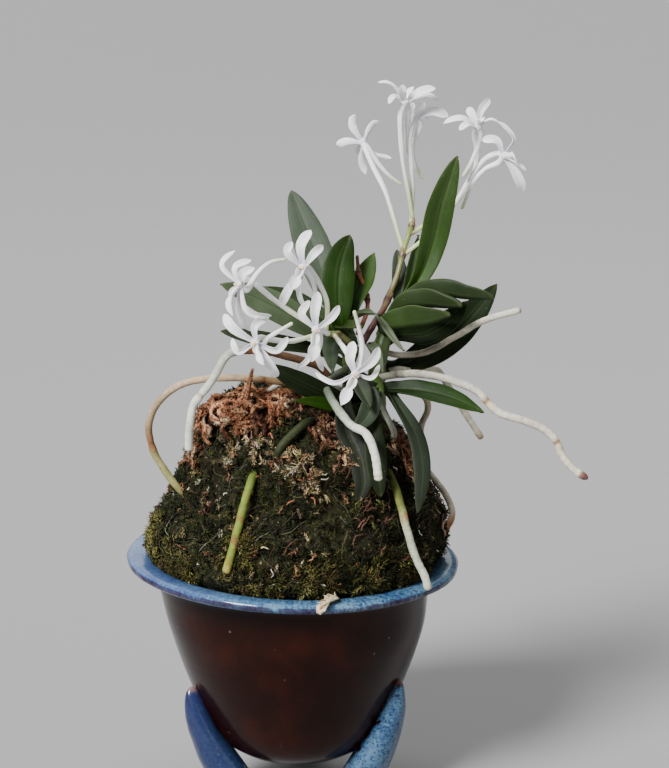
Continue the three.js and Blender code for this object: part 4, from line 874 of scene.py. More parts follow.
# Each flower: its place on the stalk, its middle, the way it faces, its five tepals and then its lip, its
# spur and its own stalk. A tepal is its bend, its tip, its width and, where it has one of its own, the way it
# faces. All but the first three are measured from the middle.
BLOOMS = {
    "low_1": (
        0.98, "-15.1 -38 175.7", "-0.72 -0.66 0.1",
        ["-5.5 3 5.6, -2.2 5 9.9, 2.5, -0.5 -0.8 0.2", "-1.4 1 5.1, 2.9 3 7.2, 3, -0.6 -0.8 0.2",
         "0.9 -4.5 4.4, 4 -6 6.6, 3.1", "-0.3 2 -8.4, 2.2 5 -15.8, 3.4, -0.4 -0.9 0",
         "2.2 -3.5 -7.2, 8.8 -3 -9.6, 2.7, -0.5 -0.8 -0.3", "-2.8 -2 -4.5, -2 -3.5 -8.8, 2.8"],
        "1.8 1 -1.6, 5.4 2 3.4, 9 4 6.1, 13.9 6 6.8", "1.4 3 1.2, 3.8 5 -0.4, 10 10 -6.6, 19 12 -13.6"),
    "low_2": (
        0.86, "4 -30 179.3", "-0.25 -0.95 0.1",
        ["-0.6 -1 7.1, 2.1 2 11.4, 3.9", "-4.8 -2 5.6, -3.6 0 8.2, 2.9", "3.4 -2 5, 6 0 7, 3.1",
         "-3.9 -0.5 -5.6, -7.2 2 -12.3, 3.4", "-1.4 1 -6.7, -0.1 3 -12.9, 2.1",
         "-1.8 -3 -2.6, -3.6 -4 -5.8, 3.9"],
        "1.8 2.4 -2.2, 3.3 3.6 -6.1, 3.8 3.6 -9.6, 2.4 2.6 -11.8", "1.4 3.6 -0.4, 4.4 6 -5.2, 7.2 8 -12"),
    "low_3": (
        0.92, "-10.3 -42 158.6", "-0.15 -0.96 -0.1",
        ["-6.9 -1 4.9, -9.9 1 8.4, 3.6", "-0.3 0 5.3, 4 3 7.8, 3.3", "-5.4 -2 -2.3, -7.4 -1 1.4, 2.4",
         "6.1 0 -2.3, 9.6 2 1, 2.8", "3.4 -1 -5.1, 6.4 1 -11.2, 3.6", "1.2 -2.4 -3.4, 2.6 -3.6 -6, 2.8"],
        "1.2 2.2 -1.9, 3.6 3.6 0.6, 6.9 4.4 2.6, 11.2 4.6 5.2", "1 3.4 0.8, 4.6 8 -0.9, 11 13 -2.4"),
    "low_4": (
        0.8, "7.9 -36 161.2", "0.02 -1 -0.06",
        ["-0.3 -1 6.5, 0.8 1 11.5, 3.9", "-4.3 -1 5.5, -2 1 8.8, 2.9", "4.6 -1.4 4.2, 7.2 0 7.4, 3",
         "-2.2 0.5 -8.8, -5.9 2.4 -12.9, 2", "0.6 1 -8.8, 2.2 3.4 -14.2, 2",
         "-0.5 -2 -4.6, -1.2 -3 -9.2, 4.2"],
        "0.8 3.4 -1.2, 1.5 7 -4.6, 0.8 9 -8.6, -1 9 -11", "1.8 3 -0.6, 3.4 7 -2.6"),
    "low_5": (
        0.66, "19.8 -46 149.8", "0.05 -0.97 -0.16",
        ["-1.5 -1 5.2, -0.4 1 9.6, 3.7", "4.8 -1 4, 7.4 1 7.7, 3.7", "-6.1 -2 -2.2, -12 0 0, 2",
         "4.9 0.5 -1.3, 7.6 2.6 2, 1.9", "-1.6 2 -4.9, -3.4 4 -8.9, 2.4", "-2.2 -2 -4.6, -4.2 -3 -8.9, 3.9"],
        "1.2 1.2 2.6, 2.2 1.6 8, 1.2 0.8 14.3, -0.3 -0.4 19.8", "-0.4 3.4 1.6, -2.6 9 5, -4.6 17 6"),
    "high_1": (
        0.78, "22.9 35 207.8", "-0.35 0.86 0.36",
        ["-5.2 0.4 0.5, -8.8 0 -0.7, 3.3, -0.1 1 -0.3", "-3.3 0.6 5.4, -3 2 9.5, 3.3",
         "2.3 1 4.6, 4.9 3 7, 3", "-0.3 1.4 -5.9, 0.7 2.6 -10.4, 3", "4.3 0 -4, 9.2 1 -5, 2",
         "-0.9 3.4 -2.6, -1.2 5 -5.2, 2.8"],
        "1.8 -1.2 -2, 4.9 -2.2 -6.3, 8.8 -2.4 -10.6, 12.7 -1.8 -13.6",
        "0.8 -1.4 -1.6, 3.2 -4.4 -7, 7.4 -9 -15.1"),
    "high_2": (
        1, "36.2 20 222.7", "0.05 -0.25 0.97",
        ["-3.9 -0.4 6.2, -8.6 0 7.9, 1.9", "-1 -3 4, -0.7 -4.6 6.8, 3.1, 0 -1 0.3",
         "-3.6 -3 2.8, -5.4 -4.4 0.9, 2.6, -0.3 -0.8 0.6", "4.1 -1.6 3.8, 9.8 -1 5.5, 3.6, 0.1 -0.8 0.6",
         "6.1 2 2.6, 10.9 3 1.2, 2.6, 0 -0.6 0.8", "1.4 2 3, 2.7 3.6 4.8, 2.8"],
        "1 1.6 -2.2, 0.6 2.6 -9, 0.9 2.6 -14.8, 2.3 2.2 -18.3",
        "-1.2 -0.4 -2.2, -1.5 -0.6 -7.4, -0.6 -0.4 -18.1, 1.2 0 -28"),
    "high_3": (
        0.96, "39.6 26 217", "0.3 0.45 0.84",
        ["5.4 -1.6 2.7, 10.7 -2.6 1.5, 3.7, 0 -0.9 0.5", "0.9 0 3.4, 3 0.4 5.3, 3.2, 0 -1 0.1",
         "-2.4 4 1.9, -4.6 7 1.6, 3", "3.6 4.6 1.6, 7 8 0.6, 3", "-0.6 5 3.4, -1.6 8.6 5.4, 2.6",
         "2.2 2.6 0.9, 4.2 5 -0.8, 2.8"],
        "1.7 0.6 -2, -0.4 0.6 -7.5, -0.4 0.4 -13.2, 2.6 0 -19.6",
        "-0.9 -1.4 -1.8, -1.8 -3 -6.6, -1.4 -4 -14.2, -0.8 -4.4 -22"),
    "high_4": (
        0.9, "59.4 15 216", "0.02 -0.3 0.95",
        ["-4.9 -1.2 2.9, -11.2 -2 2, 3.2, -0.1 -0.7 0.7", "-1.8 0.6 3.8, -3.2 1.6 6.2, 3.1, 0 -1 0.3",
         "0.9 1 5.3, 4 3 8.8, 3.1, 0.3 -0.9 0.2", "3.5 -0.4 2.6, 7.2 -0.6 1.7, 1.9",
         "-3.4 -3.4 1.6, -6.2 -6 0.2, 2.8, 0 -0.8 0.6", "0.6 -2.8 2.6, 1 -5.2 2.2, 2.8"],
        "0.8 1 -2.2, -0.2 0.8 -6.9, -2 0.6 -11.4, -4.7 0.8 -16.2",
        "-0.9 2.4 -2.4, 0 4.4 -8.7, -0.7 6.6 -15.7, -5 8 -24.2, -12.5 7 -30.4"),
    "high_5": (
        0.74, "67.6 12 207.2", "0.9 -0.28 0.12",
        ["-2.4 0 5, -7 0 5.4, 3.2, 0.2 -0.8 0.6", "3.2 0.6 5.2, -1.2 1 10.9, 2.4, 0.8 -0.6 0.1",
         "3.4 -0.6 -4.8, 6.6 0 -11.3, 4, 0.1 -0.9 0.4", "4 -2 -1.9, 7.4 -3 -4.4, 2.1",
         "2.2 3.6 -4, 4.2 6 -8.6, 3", "2 -2.4 0.4, 3.4 -4.6 -1, 2.8"],
        "-1.5 1.2 -2.4, -5.6 1.6 -4.4, -9.7 1.6 -9, -13.2 1.4 -17.4",
        "-1.6 2.4 0.4, -5.2 4.4 -1.4, -9.4 6 -6.8, -14 7.6 -15, -21 8 -24.8"),
}
# Widths along a petal or radii along a tube: the place from 0 to 1, and the width or radius there.
TEPAL_SHAPE = rows_of("0 0.4, 0.2 0.54, 0.42 0.76, 0.62 0.88, 0.78 0.87, 0.89 0.69, 0.955 0.41, 1 0.03")
LIP_SHAPE = rows_of("0 0.5, 0.12 0.8, 0.24 0.88, 0.36 0.66, 0.58 0.92, 0.74 0.8, 0.89 0.42, 1 0.03")
CORE_SHAPE = rows_of("0 1.15, 0.35 1.3, 0.7 1.28, 1 0.95")
SPUR_SHAPE = rows_of("0 1.25, 0.12 1.3, 0.3 1.02, 0.8 0.72, 1 0.66")
WHITE = colour("faf9f8")
LILAC_WHITE = colour("d4d0dc")


def petal_section(u, s, half):
    """A petal across: a shallow trough (height 0.36 half s^2) with a rolled edge and a faint keel."""
    z = half * 0.36 * (s * s - 0.35 * s**6) - 0.12 * bell(s, 0.2) * (1 - 0.7 * u)
    return half * s * (1 - 0.04 * s * s), z, 0.42 * mix(1.0, 0.6, u) * np.sqrt(np.clip(1 - s**4, 0, 1)) + 0.02


def lip_section(u, s, half):
    """The lip across: two side lobes stand up near its foot, and its tongue is a shallow trough."""
    stand = along([(0, 1.3), (0.28, 1.1), (0.42, 0.4), (1, 0.25)], u)
    x = half * s * (1 - 0.35 * (stand > 0.5) * s * s)
    z = half * stand * s * s - 0.1 * bell(s, 0.2)
    return x, z, 0.5 * mix(1.0, 0.55, u) * np.sqrt(np.clip(1 - s**4, 0, 1)) + 0.02


def petal_tint(u, s):
    """White, with a painted shade of grey-lilac near the foot and along the keel."""
    level = 0.85 * (1 - smoothstep(u, 0.0, 0.5)) + 0.25 * bell(s, 0.3) * (1 - 0.6 * u)
    return mix(WHITE, LILAC_WHITE, np.clip(level, 0, 1))


def lip_tint(u, s):
    """White, cream along the middle of the foot."""
    return mix(WHITE, colour("efe6cf"), 0.8 * (1 - smoothstep(u, 0.05, 0.36)) * bell(s, 0.5))


def add_petal(skin, middle, face, shape, widths, section, tint, seed, curl):
    """One sepal, petal or lip from the side of the column through its bend to its tip, which curls back by
    curl of its length. It twists a little on the way."""
    draw = np.random.default_rng(seed)
    bend, tip, width, *own_face = rows_of(shape)
    face = unit(own_face[0] if own_face else face)
    twisted = face + 0.5 * draw.uniform(-1, 1) * np.cross(unit(tip), face)
    path = [middle + unit(bend) * 1.04, middle + bend, middle + tip]
    rings, u, v, s, _ = blade(path, lambda w: 0.5 * width * eased(widths, w), section, face, twisted, 32, 13,
                              0.14, seed)
    back = curl * np.linalg.norm(tip) * draw.uniform(0.6, 1.4) * smoothstep(u, 0.62, 1.1) ** 2
    skin.add(rings - face * back[:, None, None], tint(u[:, None, None], s[:, None]), u, v)


def blob(skin, centre, axes, reach, tint, notch=0.0):
    """An egg: centre + axes * reach * the unit sphere, with an optional groove down its front."""
    tilt = np.linspace(0.05, math.pi - 0.05, 12)[:, None]
    ball = polar(np.sin(tilt), turns(18), -np.cos(tilt))
    dent = 1 - notch * bell(ball[..., 0], 0.22) * (ball[..., 2] > 0)
    skin.add(centre + (ball * reach * dent[..., None]) @ axes, tint)


def make_bloom(name, share, centre, facing, petals, spur, pedicel):
    """One flower: three sepals and two petals, the three-lobed lip, the column with its two small arms and
    its cap, the hollow spur and the twisted ovary that is also its stalk."""
    skin = Skin()
    seed = sum(ord(letter) for letter in name)
    (middle,), (face,) = rows_of(centre), unit(rows_of(facing))
    *tepals, lip = petals
    for number, tepal in enumerate(tepals):
        add_petal(skin, middle, face, tepal, TEPAL_SHAPE, petal_section, petal_tint, seed + number, 0.1)
    add_petal(skin, middle + 0.6 * face, face, lip, LIP_SHAPE, lip_section, lip_tint, seed + 9, 0.05)
    down = unit(rows_of(lip)[0])
    down = unit(down - face * (down @ face))
    across = np.cross(face, down)
    axes = np.array([across, down, face])
    core = [middle - face * 0.7, middle + face * 0.4 - down * 0.15, middle + face * 1.7 - down * 0.35]
    rings, u = tube(core, lambda w: eased(CORE_SHAPE, w), 14, 20, end=0.6)
    skin.add(rings, mix(WHITE, LILAC_WHITE, 0.5), u)
    cap = middle + face * 1.55 - down * 0.28
    blob(skin, cap, axes, (0.72, 0.66, 0.42), colour("f0cfa6"), notch=0.2)
    blob(skin, cap + 0.55 * down - 0.1 * face, axes, (0.3, 0.34, 0.24), colour("f3e2c4"))
    for way in (-1, 1):
        arm = [cap + across * way * 0.75 - face * 0.6, cap + across * way * 1.0 - face * 0.15 + down * 0.1,
               cap + across * way * 0.9 + face * 0.2 + down * 0.3]
        rings, u = tube(arm, lambda w: mix(0.3, 0.16, w), 6, 10, start=0.2, end=0.15)
        skin.add(rings, mix(WHITE, LILAC_WHITE, 0.3), u)
    path = [middle, *(middle + step for step in rows_of(spur))]
    rings, u = tube(path, lambda w: 0.85 * eased(SPUR_SHAPE, w), 60, 16, end=0.55, wrinkle=0.015, seed=seed)
    skin.add(rings, mix(WHITE, colour("d5dcb4"), smoothstep(u, 0.55, 1.0)[:, None]), u)
    seat = point_on(STALKS[name.split("_")[1]], share)
    path = [middle, *(middle + step for step in rows_of(pedicel)), seat]
    rings, u = tube(path, lambda w: 0.85 * mix(1.05, 0.8, w) * (1 + 0.05 * np.sin(w * 21)), 70, 18,
                    wrinkle=0.012, seed=seed + 1)
    core = rings.mean(1, keepdims=True)
    rings = core + (rings - core) * (1 + 0.07 * np.cos(3 * turns(18) + 9 * u[:, None]))[..., None]
    tint = mix(WHITE, colour("c2cb95"), smoothstep(u, 0.4, 0.92)[:, None])
    skin.add(rings, mix(tint, colour("8f6657"), 0.75 * smoothstep(u, 0.93, 0.985)[:, None]), u)
    skin.piece(name + "_flower", PETAL, [name])


for name, shape in BLOOMS.items():
    make_bloom("bloom_" + name, *shape)

# -------------------------------------------------------------------------------- roots

ROOTS = {
    "front_white": dict(
        slot="root_white", radius=1.35, creases=(0.66, 0.73, 0.8, 0.86, 0.9, 0.94, 0.972),
        path="18.8 -1 141, 13.5 -7.5 139.8, 10.9 -14 138.5, 12.5 -22 136.3, 15.3 -29 133.5, 19 -34 130.4, "
             "23.3 -37 128.6, 25.8 -39 123.4, 27.3 -40 114.4",
        stops="0 4c543f, 0.3 6c7562, 0.5 7f8776, 0.62 a5ab9c, 0.7 d2d3c9, 0.955 e4e3da, 0.975 b9a990, "
              "0.985 ece9e0, 1 d9d4c6"),
    "right_long": dict(
        slot="root_white", radius=1.25, knuckles=(0.47, 0.8),
        creases=(0.3, 0.52, 0.58, 0.63, 0.68, 0.705, 0.74, 0.765, 0.83, 0.86, 0.885, 0.91, 0.94), point=1.9,
        path="28.1 -3 138.3, 34.5 -5 139.8, 40.8 -6 140.1, 50.3 -7 138.4, 59.1 -10 135.2, 61.9 -12 132.4, "
             "65.9 -14 129.3, 73.8 -16 127.2, 80 -17 124.6, 83.4 -19 121.5, 85.3 -20 117.2, "
             "88.4 -22 113.5, 93.3 -24 110.5",
        stops="0 8f8f7b, 0.2 b8b4a3, 0.45 c2bdac, 0.468 a07a50, 0.48 c8b795, 0.52 cbc5b4, 0.785 c2bba8, "
              "0.8 9a7048, 0.815 c6bda6, 0.94 cfc8b2, 0.958 dad5c4, 0.966 8a6350, 0.985 5f3f3a, 1 6b4a42"),
    "right_upper": dict(
        slot="root_white", radius=1.05, creases=(0.42, 0.55, 0.67, 0.8),
        path="28 1 146, 34.6 4 143.9, 42.7 4 144.9, 52.1 1 150.6, 61.4 -3 157, 72.6 -6 160.9",
        stops="0 857f70, 0.3 9a9282, 0.6 a9a292, 0.85 c4bfae, 0.97 cbc6b6, 1 a08c74"),
    "left_hanging": dict(
        slot="root_white", radius=1.24, knuckles=(0.55, 0.78),
        creases=(0.6, 0.66, 0.71, 0.82, 0.87, 0.92, 0.955),
        path="18.6 -1.5 137, 12.6 -8.4 139.4, 8.4 -12 144.1, 2.8 -16 147, -7.1 -23 151.3, "
             "-12.6 -27 152.8, -19.2 -31 152.2, -24.2 -33 144.4, -29.7 -35 137.3, -31 -36 131.2, "
             "-31.7 -35 122.6",
        stops="0 5f452f, 0.3 6f533b, 0.46 76583e, 0.54 7a5233, 0.556 a08a66, 0.57 a3a894, 0.7 b9bdac, "
              "0.775 c6c8b9, 0.784 bfa886, 0.794 cfd2c4, 1 d8d9cc"),
    "left_arch": dict(
        slot="root_tan", radius=1.15, knuckles=(0.3, 0.78),
        path="18.5 -3 129, 12.2 -4 133, 2.7 -11 137.7, -6.7 -15 140.2, -16 -18 141.7, -26.9 -20 141.9, "
             "-35.5 -18 139.2, -42.4 -15 132.5, -45.2 -13 125.1, -44.4 -12 117.7, -41 -12 110.7, "
             "-35.6 -14 104, -31 -14 100",
        stops="0 7c6444, 0.15 987b58, 0.28 9c7f5b, 0.3 85603f, 0.32 a58b69, 0.5 b0987a, 0.7 a08a6c, "
              "0.775 8f6440, 0.79 8a5c3a, 0.815 9a9460, 0.92 85844e, 1 6c6c3b"),
    "rear_right": dict(
        slot="root_white", radius=1.12,
        path="28 1 138, 33 5 138.8, 41.4 12 136.4, 47.5 20 134.8, 50.9 22 129.2, 55.6 21 122, 62.1 17 112.5",
        stops="0 9b9785, 0.5 bdb8a6, 0.93 b5ac98, 1 8f7a5c"),
    "rear_loop": dict(
        slot="root_white", radius=1.14, knuckles=(0.2, 0.84),
        path="28 2 134, 34.7 6 133.8, 42.8 14 127.8, 44.3 18 122.8, 42.5 24 115.7, 42 27 107.7, "
             "43.8 28 99.8, 47.4 26 95.6, 51 23 90.9, 52.5 18 87, 50.8 12 84, 45.4 7 80.8, 40 5 77.5",
        stops="0 6d4a2e, 0.15 7d5737, 0.24 a09074, 0.5 bdb5a2, 0.76 b8ad97, 0.83 966642, 0.88 855335, "
              "1 63402a"),
    "moss_left": dict(
        slot="root_green", radius=1.32, creases=(0.3, 0.42, 0.56, 0.68, 0.79), streak=(0.35, 0.9, "7a5a30"),
        path="-10.8 -27 114.5, -12.3 -34.6 112.6, -14.2 -38.2 107.3, -16.3 -41 99.3, -18.2 -43 92.4, "
             "-20.1 -43.6 85.6",
        stops="0 3f4a1e, 0.2 5f6f28, 0.5 7b8c33, 0.85 78862f, 0.96 938d40, 1 9c834c"),
    "moss_right": dict(
        slot="root_white", radius=1.3, creases=(0.35, 0.5, 0.62, 0.74, 0.83, 0.92),
        streak=(0.3, 0.46, "9a5f28"),
        path="30 -20 113, 33.2 -28.6 107.4, 34.7 -31 102.3, 36.8 -33.4 94.7, 39.4 -34.8 87, "
             "42 -35.4 81.8, 43 -35.8 77.6",
        stops="0 4d5723, 0.28 6a7534, 0.36 7c8343, 0.45 989d70, 0.55 a8ad90, 0.8 b6baa6, 0.97 c4c5b3, "
              "1 aca58c"),
    "short_grey": dict(
        slot="root_white", radius=0.98,
        path="27 -4 133, 27.6 -8.6 132.4, 29 -11.4 130, 31 -12.4 126, 32.6 -11.4 121.6, 31 -7 118",
        stops="0 74786a, 0.6 9a9d8e, 1 8a8c78"),
    "moss_dark": dict(
        slot="root_green", radius=1.35,
        path="8 -17 127.5, 4.6 -24.6 128.8, 0.6 -28.8 126.4, -3.6 -31 122, -5 -28 116",
        stops="0 1e230e, 0.5 2a3216, 1 242b12"),
    "top_pale": dict(
        slot="root_white", radius=1.15,
        path="18 -1.5 133, 5 -5.4 137.3, -3 -8 137.5, -9 -12 133, -11 -13 127",
        stops="0 8f9082, 0.5 a9aa9b, 1 a5a48f"),
}


def make_root(name, seed, slot, radius, path, stops, creases=(), knuckles=(), point=0.85, streak=None):
    """An aerial root: a tube that wanders and swells a little, pinched and then thickened at its knuckles,
    flattened here and there, wrinkled, with a rounded growing tip."""
    skin = Skin()
    path = rows_of(path)
    length = length_of(path)
    knuckles = np.array(knuckles)
    pinch, swell, fold = 0.9 / length, 1.7 / length, 0.42 / length
    slow = lambda u, size, key: ripple_line(u * length, size, seed + key)
    profile = lambda u: radius * (
        0.985 - 0.13 * bumps(knuckles, pinch, u) + 0.09 * bumps(knuckles + 1.6 * swell, swell, u)
        - 0.04 * bumps(creases, fold, u) + 0.03 * slow(u, 11.0, 1) + 0.015 * slow(u, 3.6, 2))
    rings, u = tube(path, profile, int(length * 2.2), 22, end=point * radius, wrinkle=0.035, seed=seed)
    sway = np.stack([slow(u, 7.5, key) for key in (11, 12, 13)], -1) * (0.07 * smoothstep(u, 0, 0.1))[:, None]
    flat = unit([0.4, 1.0, 0.3])
    lean = ((rings - rings.mean(1, keepdims=True)) @ flat) * (0.07 * slow(u, 9.0, 21))[:, None]
    rings = rings + sway[:, None] + lean[..., None] * flat
    tint = tones(stops, u)[:, None] * (1 + 0.1 * ripple(rings, 6.0, seed + 5))[..., None]
    if streak:
        first, last, shade = streak
        reach = smoothstep(u, first - 0.05, first + 0.02) * (1 - smoothstep(u, last - 0.02, last + 0.05))
        level = smoothstep(ripple(rings * np.array([1, 1, 0.35]), 2.6, seed + 7), 0.0, 0.7)
        tint = mix(tint, colour(shade), (reach[:, None] * level)[..., None] * 0.85)
    tint = tint * (1 - 0.13 * bumps(creases, fold, u) - 0.3 * bumps(knuckles, fold, u))[:, None, None]
    skin.add(rings, tint, u * length / 30.0, mask=smoothstep(tint.mean(-1), 0.16, 0.4))
    skin.piece(name + "_skin", ROOT, [name])


for number, (name, shape) in enumerate(ROOTS.items()):
    make_root("root_" + name, 50 + 3 * number, **shape)

# -------------------------------------------------------------------------------- leaves

# Each leaf: its finish, its place on the stem, its width, the angle of its fold, how pointed it is, the way
# it faces at its foot and, if it turns, at its tip, its path, its colours, and those of its two halves if
# they differ.
# Where a leaf's colours darken towards its foot, in the middle of the plant, that darkening is painted shade.
LEAVES = {
    "front_cup": ("grey", 0.9, 6.8, 24, 0.25, "0.1 -0.6 0.7, 0.2 -1 0.3",
        "24.6 -21.5 139.5, 25 -26 135.5, 23 -29.5 131.6, 19.8 -32 129.2",
        "0 222b14, 0.4 303928, 0.8 2b3525, 1 252f1d"),
    "front_middle": ("grey", 0.75, 7.4, 30, 0.25, "0.5 -0.7 0.6",
        "20 -20 142.4, 21.6 -26.5 140, 24.6 -32 135.8", "0 252f14, 0.5 353d2e, 1 293122"),
    "front_long": ("grey", 0.7, 7.2, 24, 0.5, "0.5 -0.6 0.6, 0.5 -0.9 0.1",
        "29.9 -12.5 136.5, 34.3 -15 130.6, 39 -19 122.5, 40.8 -23 113.1, 39.9 -26 99.9",
        "0 223211, 0.3 27361f, 0.7 2f3c2b, 1 2a3324", "0 16220e, 1 3e4638"),
    "front_hanging": ("dark", 0.55, 8, 14, 0.25, "0 -0.8 0.6, 0 -1 0.2",
        "17.5 -15 136, 17.4 -23 127.5, 21.6 -30 118.4, 22.5 -34 111.7, 20.6 -36 105.8",
        "0 0b1204, 0.4 0e1407, 0.75 12180b, 1 171c0e"),
    "front_curved": ("dark", 0.95, 7, 18, 0.25, "0.2 -0.8 0.6, 0.1 -1 0.1",
        "24.8 -24 133, 26.2 -30 122, 27.1 -33 113.4, 28.1 -34 107.5", "0 152209, 0.5 19220f, 1 1d2512"),
    "front_bright": ("bright", 0.3, 4.2, 20, 1, "0 -0.9 0.4",
        "14.5 -17 132.2, 7.5 -22 135, 1.4 -27 136.7", "0 1f3805, 0.6 284906, 1 33550a"),
    "front_left": ("dark", 0.45, 7.4, 14, 0.8, "0.1 -0.9 0.4",
        "15.5 -15 134, 3 -21 140.8, -7.6 -27 148.3", "0 172309, 0.5 1c2811, 1 232d18"),
    "front_right": ("bright", 0.6, 8.6, 24, 1, "0.1 -0.6 0.8",
        "30 -12 136.5, 39 -15 136.8, 49.9 -18 135, 60.5 -21 131.5",
        "0 0d1c02, 0.35 132803, 0.7 1a3305, 1 1f3a07"),
    "left_broad": ("bright", 0.72, 11, 8, 0.5, "0.1 -1 0.1",
        "15.2 -4 157, 14.4 -3 166.8, 15.3 0 175.2, 18.5 4 183.2",
        "0 1c3504, 0.35 1e3804, 0.7 1a3204, 1 162a03"),
    "left_narrow": ("mid", 0.78, 8.4, 20, 1, "-0.3 -0.95 0.2",
        "19 0 158, 20.5 3 164.2, 23.4 7 169.5, 26.3 11 176", "0 274309, 0.5 264108, 1 2d480c"),
    "left_tall": ("grey", 0.6, 12, 12, 0.5, "0.1 -0.95 0.15",
        "16 4 154, 8.3 14 172.4, 3.4 24 183.6, -0.6 31 192.8",
        "0 203113, 0.3 303b28, 0.65 354130, 1 333f2f"),
    "left_long": ("grey", 0.6, 9.8, 14, 0.8, "-0.1 -0.85 0.5",
        "9 -1 152, -0.5 -5 159.1, -11.5 -8 165.6, -22 -11 170.4",
        "0 354720, 0.35 475638, 0.7 4d5b41, 1 445239"),
    "left_upper": ("dark", 0.68, 7, 16, 0.25, "-0.1 -0.8 0.6",
        "13 3 153, 2.5 8 160, -11 10 164.5", "0 1d2d0a, 1 202c13"),
    "left_lower": ("dark", 0.5, 6, 20, 0.25, "-0.1 -0.8 0.6",
        "9 4 145, -7 6 148, -23 8 151", "0 192509, 1 1c2710"),
    "left_drooping": ("grey", 0.66, 6, 18, 1, "0 -0.8 0.6, 0 -1 0.1",
        "14 -8 151.5, 12.5 -16 150.5, 13 -24 145", "0 273417, 0.5 2e3a27, 1 33402c"),
    "left_sheath": ("bright", 0.8, 5.4, 24, 1, "0 -0.5 0.86",
        "16 -8 155.5, 17.5 -11 157, 22.5 -14 157.5", "0 2a3f0e, 0.6 2f4416, 1 3e4b22"),
    "left_bract": ("grey", 0.86, 3.6, 30, 1, "0 -0.6 0.8",
        "19 -4 157.5, 22.5 -10 161, 26 -17 162.4", "0 34431c, 1 4b543e"),
    "right_tall": ("mid", 0.86, 9.8, 22, 0.5, "0.1 -1 0.1",
        "38.1 4 165, 41.9 5 171.6, 45 6 181.1, 47.4 6 192.4, 52.4 7 208",
        "0 33520c, 0.22 304e0d, 0.36 294311, 0.7 2a4015, 1 2f441a"),
    "right_upper": ("mid", 0.9, 11.4, 72, 0.25, "0 0.35 1",
        "38.5 2 163.4, 46.5 -2 165.8, 55.2 -5 165.1, 63.9 -8 165.4",
        "0 213507, 0.4 182a07, 0.8 152507, 1 1a2a09"),
    "right_middle": ("mid", 0.84, 12, 72, 0.25, "0 0.4 1",
        "35.5 -3 161.6, 43.1 -8 163.2, 49.3 -12 163.6, 53.5 -15 164.4",
        "0 233807, 0.4 1a2c08, 0.8 172707, 1 1c2c0a"),
    "right_short": ("mid", 0.72, 15, 70, 0.25, "0 0.4 1",
        "31 -7 155.2, 37.2 -12 157.2, 43.6 -17 159.3, 49.6 -20 162.6",
        "0 2b420c, 0.4 22370b, 0.8 1e310b, 1 23350f"),
    "right_broad": ("dark", 0.5, 11.5, 12, 0.8, "-0.2 -0.9 0.3",
        "34.8 9 138.9, 47.9 14 144.9, 58.4 20 153.6, 66.7 24 163", "0 142306, 0.5 132106, 1 152507"),
    # Its very dark green tint is painted shade: this leaf lies in shadow under the leaves above it.
    "right_under": ("dark", 0.62, 8.6, 18, 0.8, "0 -0.8 0.6",
        "33 3 150, 42.3 4 150.6, 50.7 6 155.2, 56.2 8 160.8", "0 162606, 1 152207"),
    "right_heart": ("grey", 0.7, 6, 24, 0.25, "0 -1 0.2",
        "34.5 10 157, 34.9 18 166.1, 33.9 25 174.3", "0 212d14, 0.5 2a3325, 1 273123"),
    "right_inner": ("dark", 0.78, 4.6, 30, 1, "0.1 -1 0.2",
        "36 9 160.1, 38.6 15 169.5, 40.8 20.5 180", "0 1e2f0a, 1 19270d"),
    "right_bract": ("grey", 0.72, 3.2, 30, 1, "0.4 -0.8 0.5",
        "27.7 -5 158.4, 29.8 -10 156, 32.3 -15 153.6, 35.3 -19 151", "0 3d4b23, 0.6 535a46, 1 5e614f"),
    "right_bract_low": ("grey", 0.55, 3.5, 24, 1, "0 -0.9 0.4",
        "25 -6 149.5, 27 -13 148.9, 28.8 -19 143.9", "0 384624, 1 4e5640"),
}
BLUNT = rows_of("0 0.5, 0.2 0.62, 0.45 0.94, 0.66 1, 0.84 0.8, 0.93 0.55, 0.98 0.27, 1 0.02")
POINTED = rows_of("0 0.5, 0.2 0.66, 0.42 0.96, 0.6 1, 0.78 0.78, 0.9 0.46, 0.97 0.19, 1 0.02")
KEEL = 0.55


def leaf_section(fold):
    """A leaf across: each half rises by its fold from a rounded keel and curls down at its edge, with a
    narrow groove along the middle. It is 1.25 mm thick there and thins to a rounded edge."""
    opening = [(0, 62.0), (0.25, mix(62.0, fold, 0.5)), (0.5, fold), (1, 0.7 * fold)]

    def section(u, s, half):
        lift = np.radians(along(opening, u))
        spread = np.sqrt((half * s) ** 2 + KEEL**2) - KEEL
        z = spread * np.sin(lift) - 0.07 * half * s**4 - 0.16 * bell(half * s, 0.34)
        thick = along([(0, 1.25), (0.6, 1.05), (1, 0.55)], u) * np.sqrt(np.clip(1 - np.abs(s) ** 3.2, 0, 1))
        return half * s * np.cos(lift), z + 0.35 * thick, thick * (1 + 0.25 * bell(half * s, 0.6)) + 0.03
    return section


def make_leaf(name, seed, kind, start, width, fold, pointed, faces, path, stops, halves=None):
    """One leaf from its stem through its points to its tip."""
    skin = Skin()
    path = [point_on(STEMS[name.split("_")[1]], start), *rows_of(path)]
    half = lambda u: 0.5 * width * mix(eased(BLUNT, u), eased(POINTED, u), pointed)
    face, face_end = (rows_of(faces) * 2)[:2]
    rings, u, v, s, lower = blade(path, half, leaf_section(fold), face, face_end, 46, 19, 0.02 * width, seed)
    tint = tones(stops, u)[:, None]
    if halves:
        _, (left, right) = swatches(halves)
        share = smoothstep(s, -0.12, 0.12)[:, None]
        tint = mix(tint, mix(left, right, share), 0.75 * smoothstep(u, 0.2, 0.45)[:, None, None])
    tint = tint * (1 + 0.12 * ripple(rings, 14.0, seed + 2)[..., None])
    tint = mix(tint, colour("5c5c30"), smoothstep(u, 0.95, 1.0)[:, None, None] * 0.3)
    skin.add(rings, tint, u, v, lower)
    skin.piece(name + "_blade", LEAF_FINISHES[kind], [name])


for number, (name, shape) in enumerate(LEAVES.items()):
    make_leaf("leaf_" + name, 200 + 5 * number, *shape)

# -------------------------------------------------------------------------------- moss

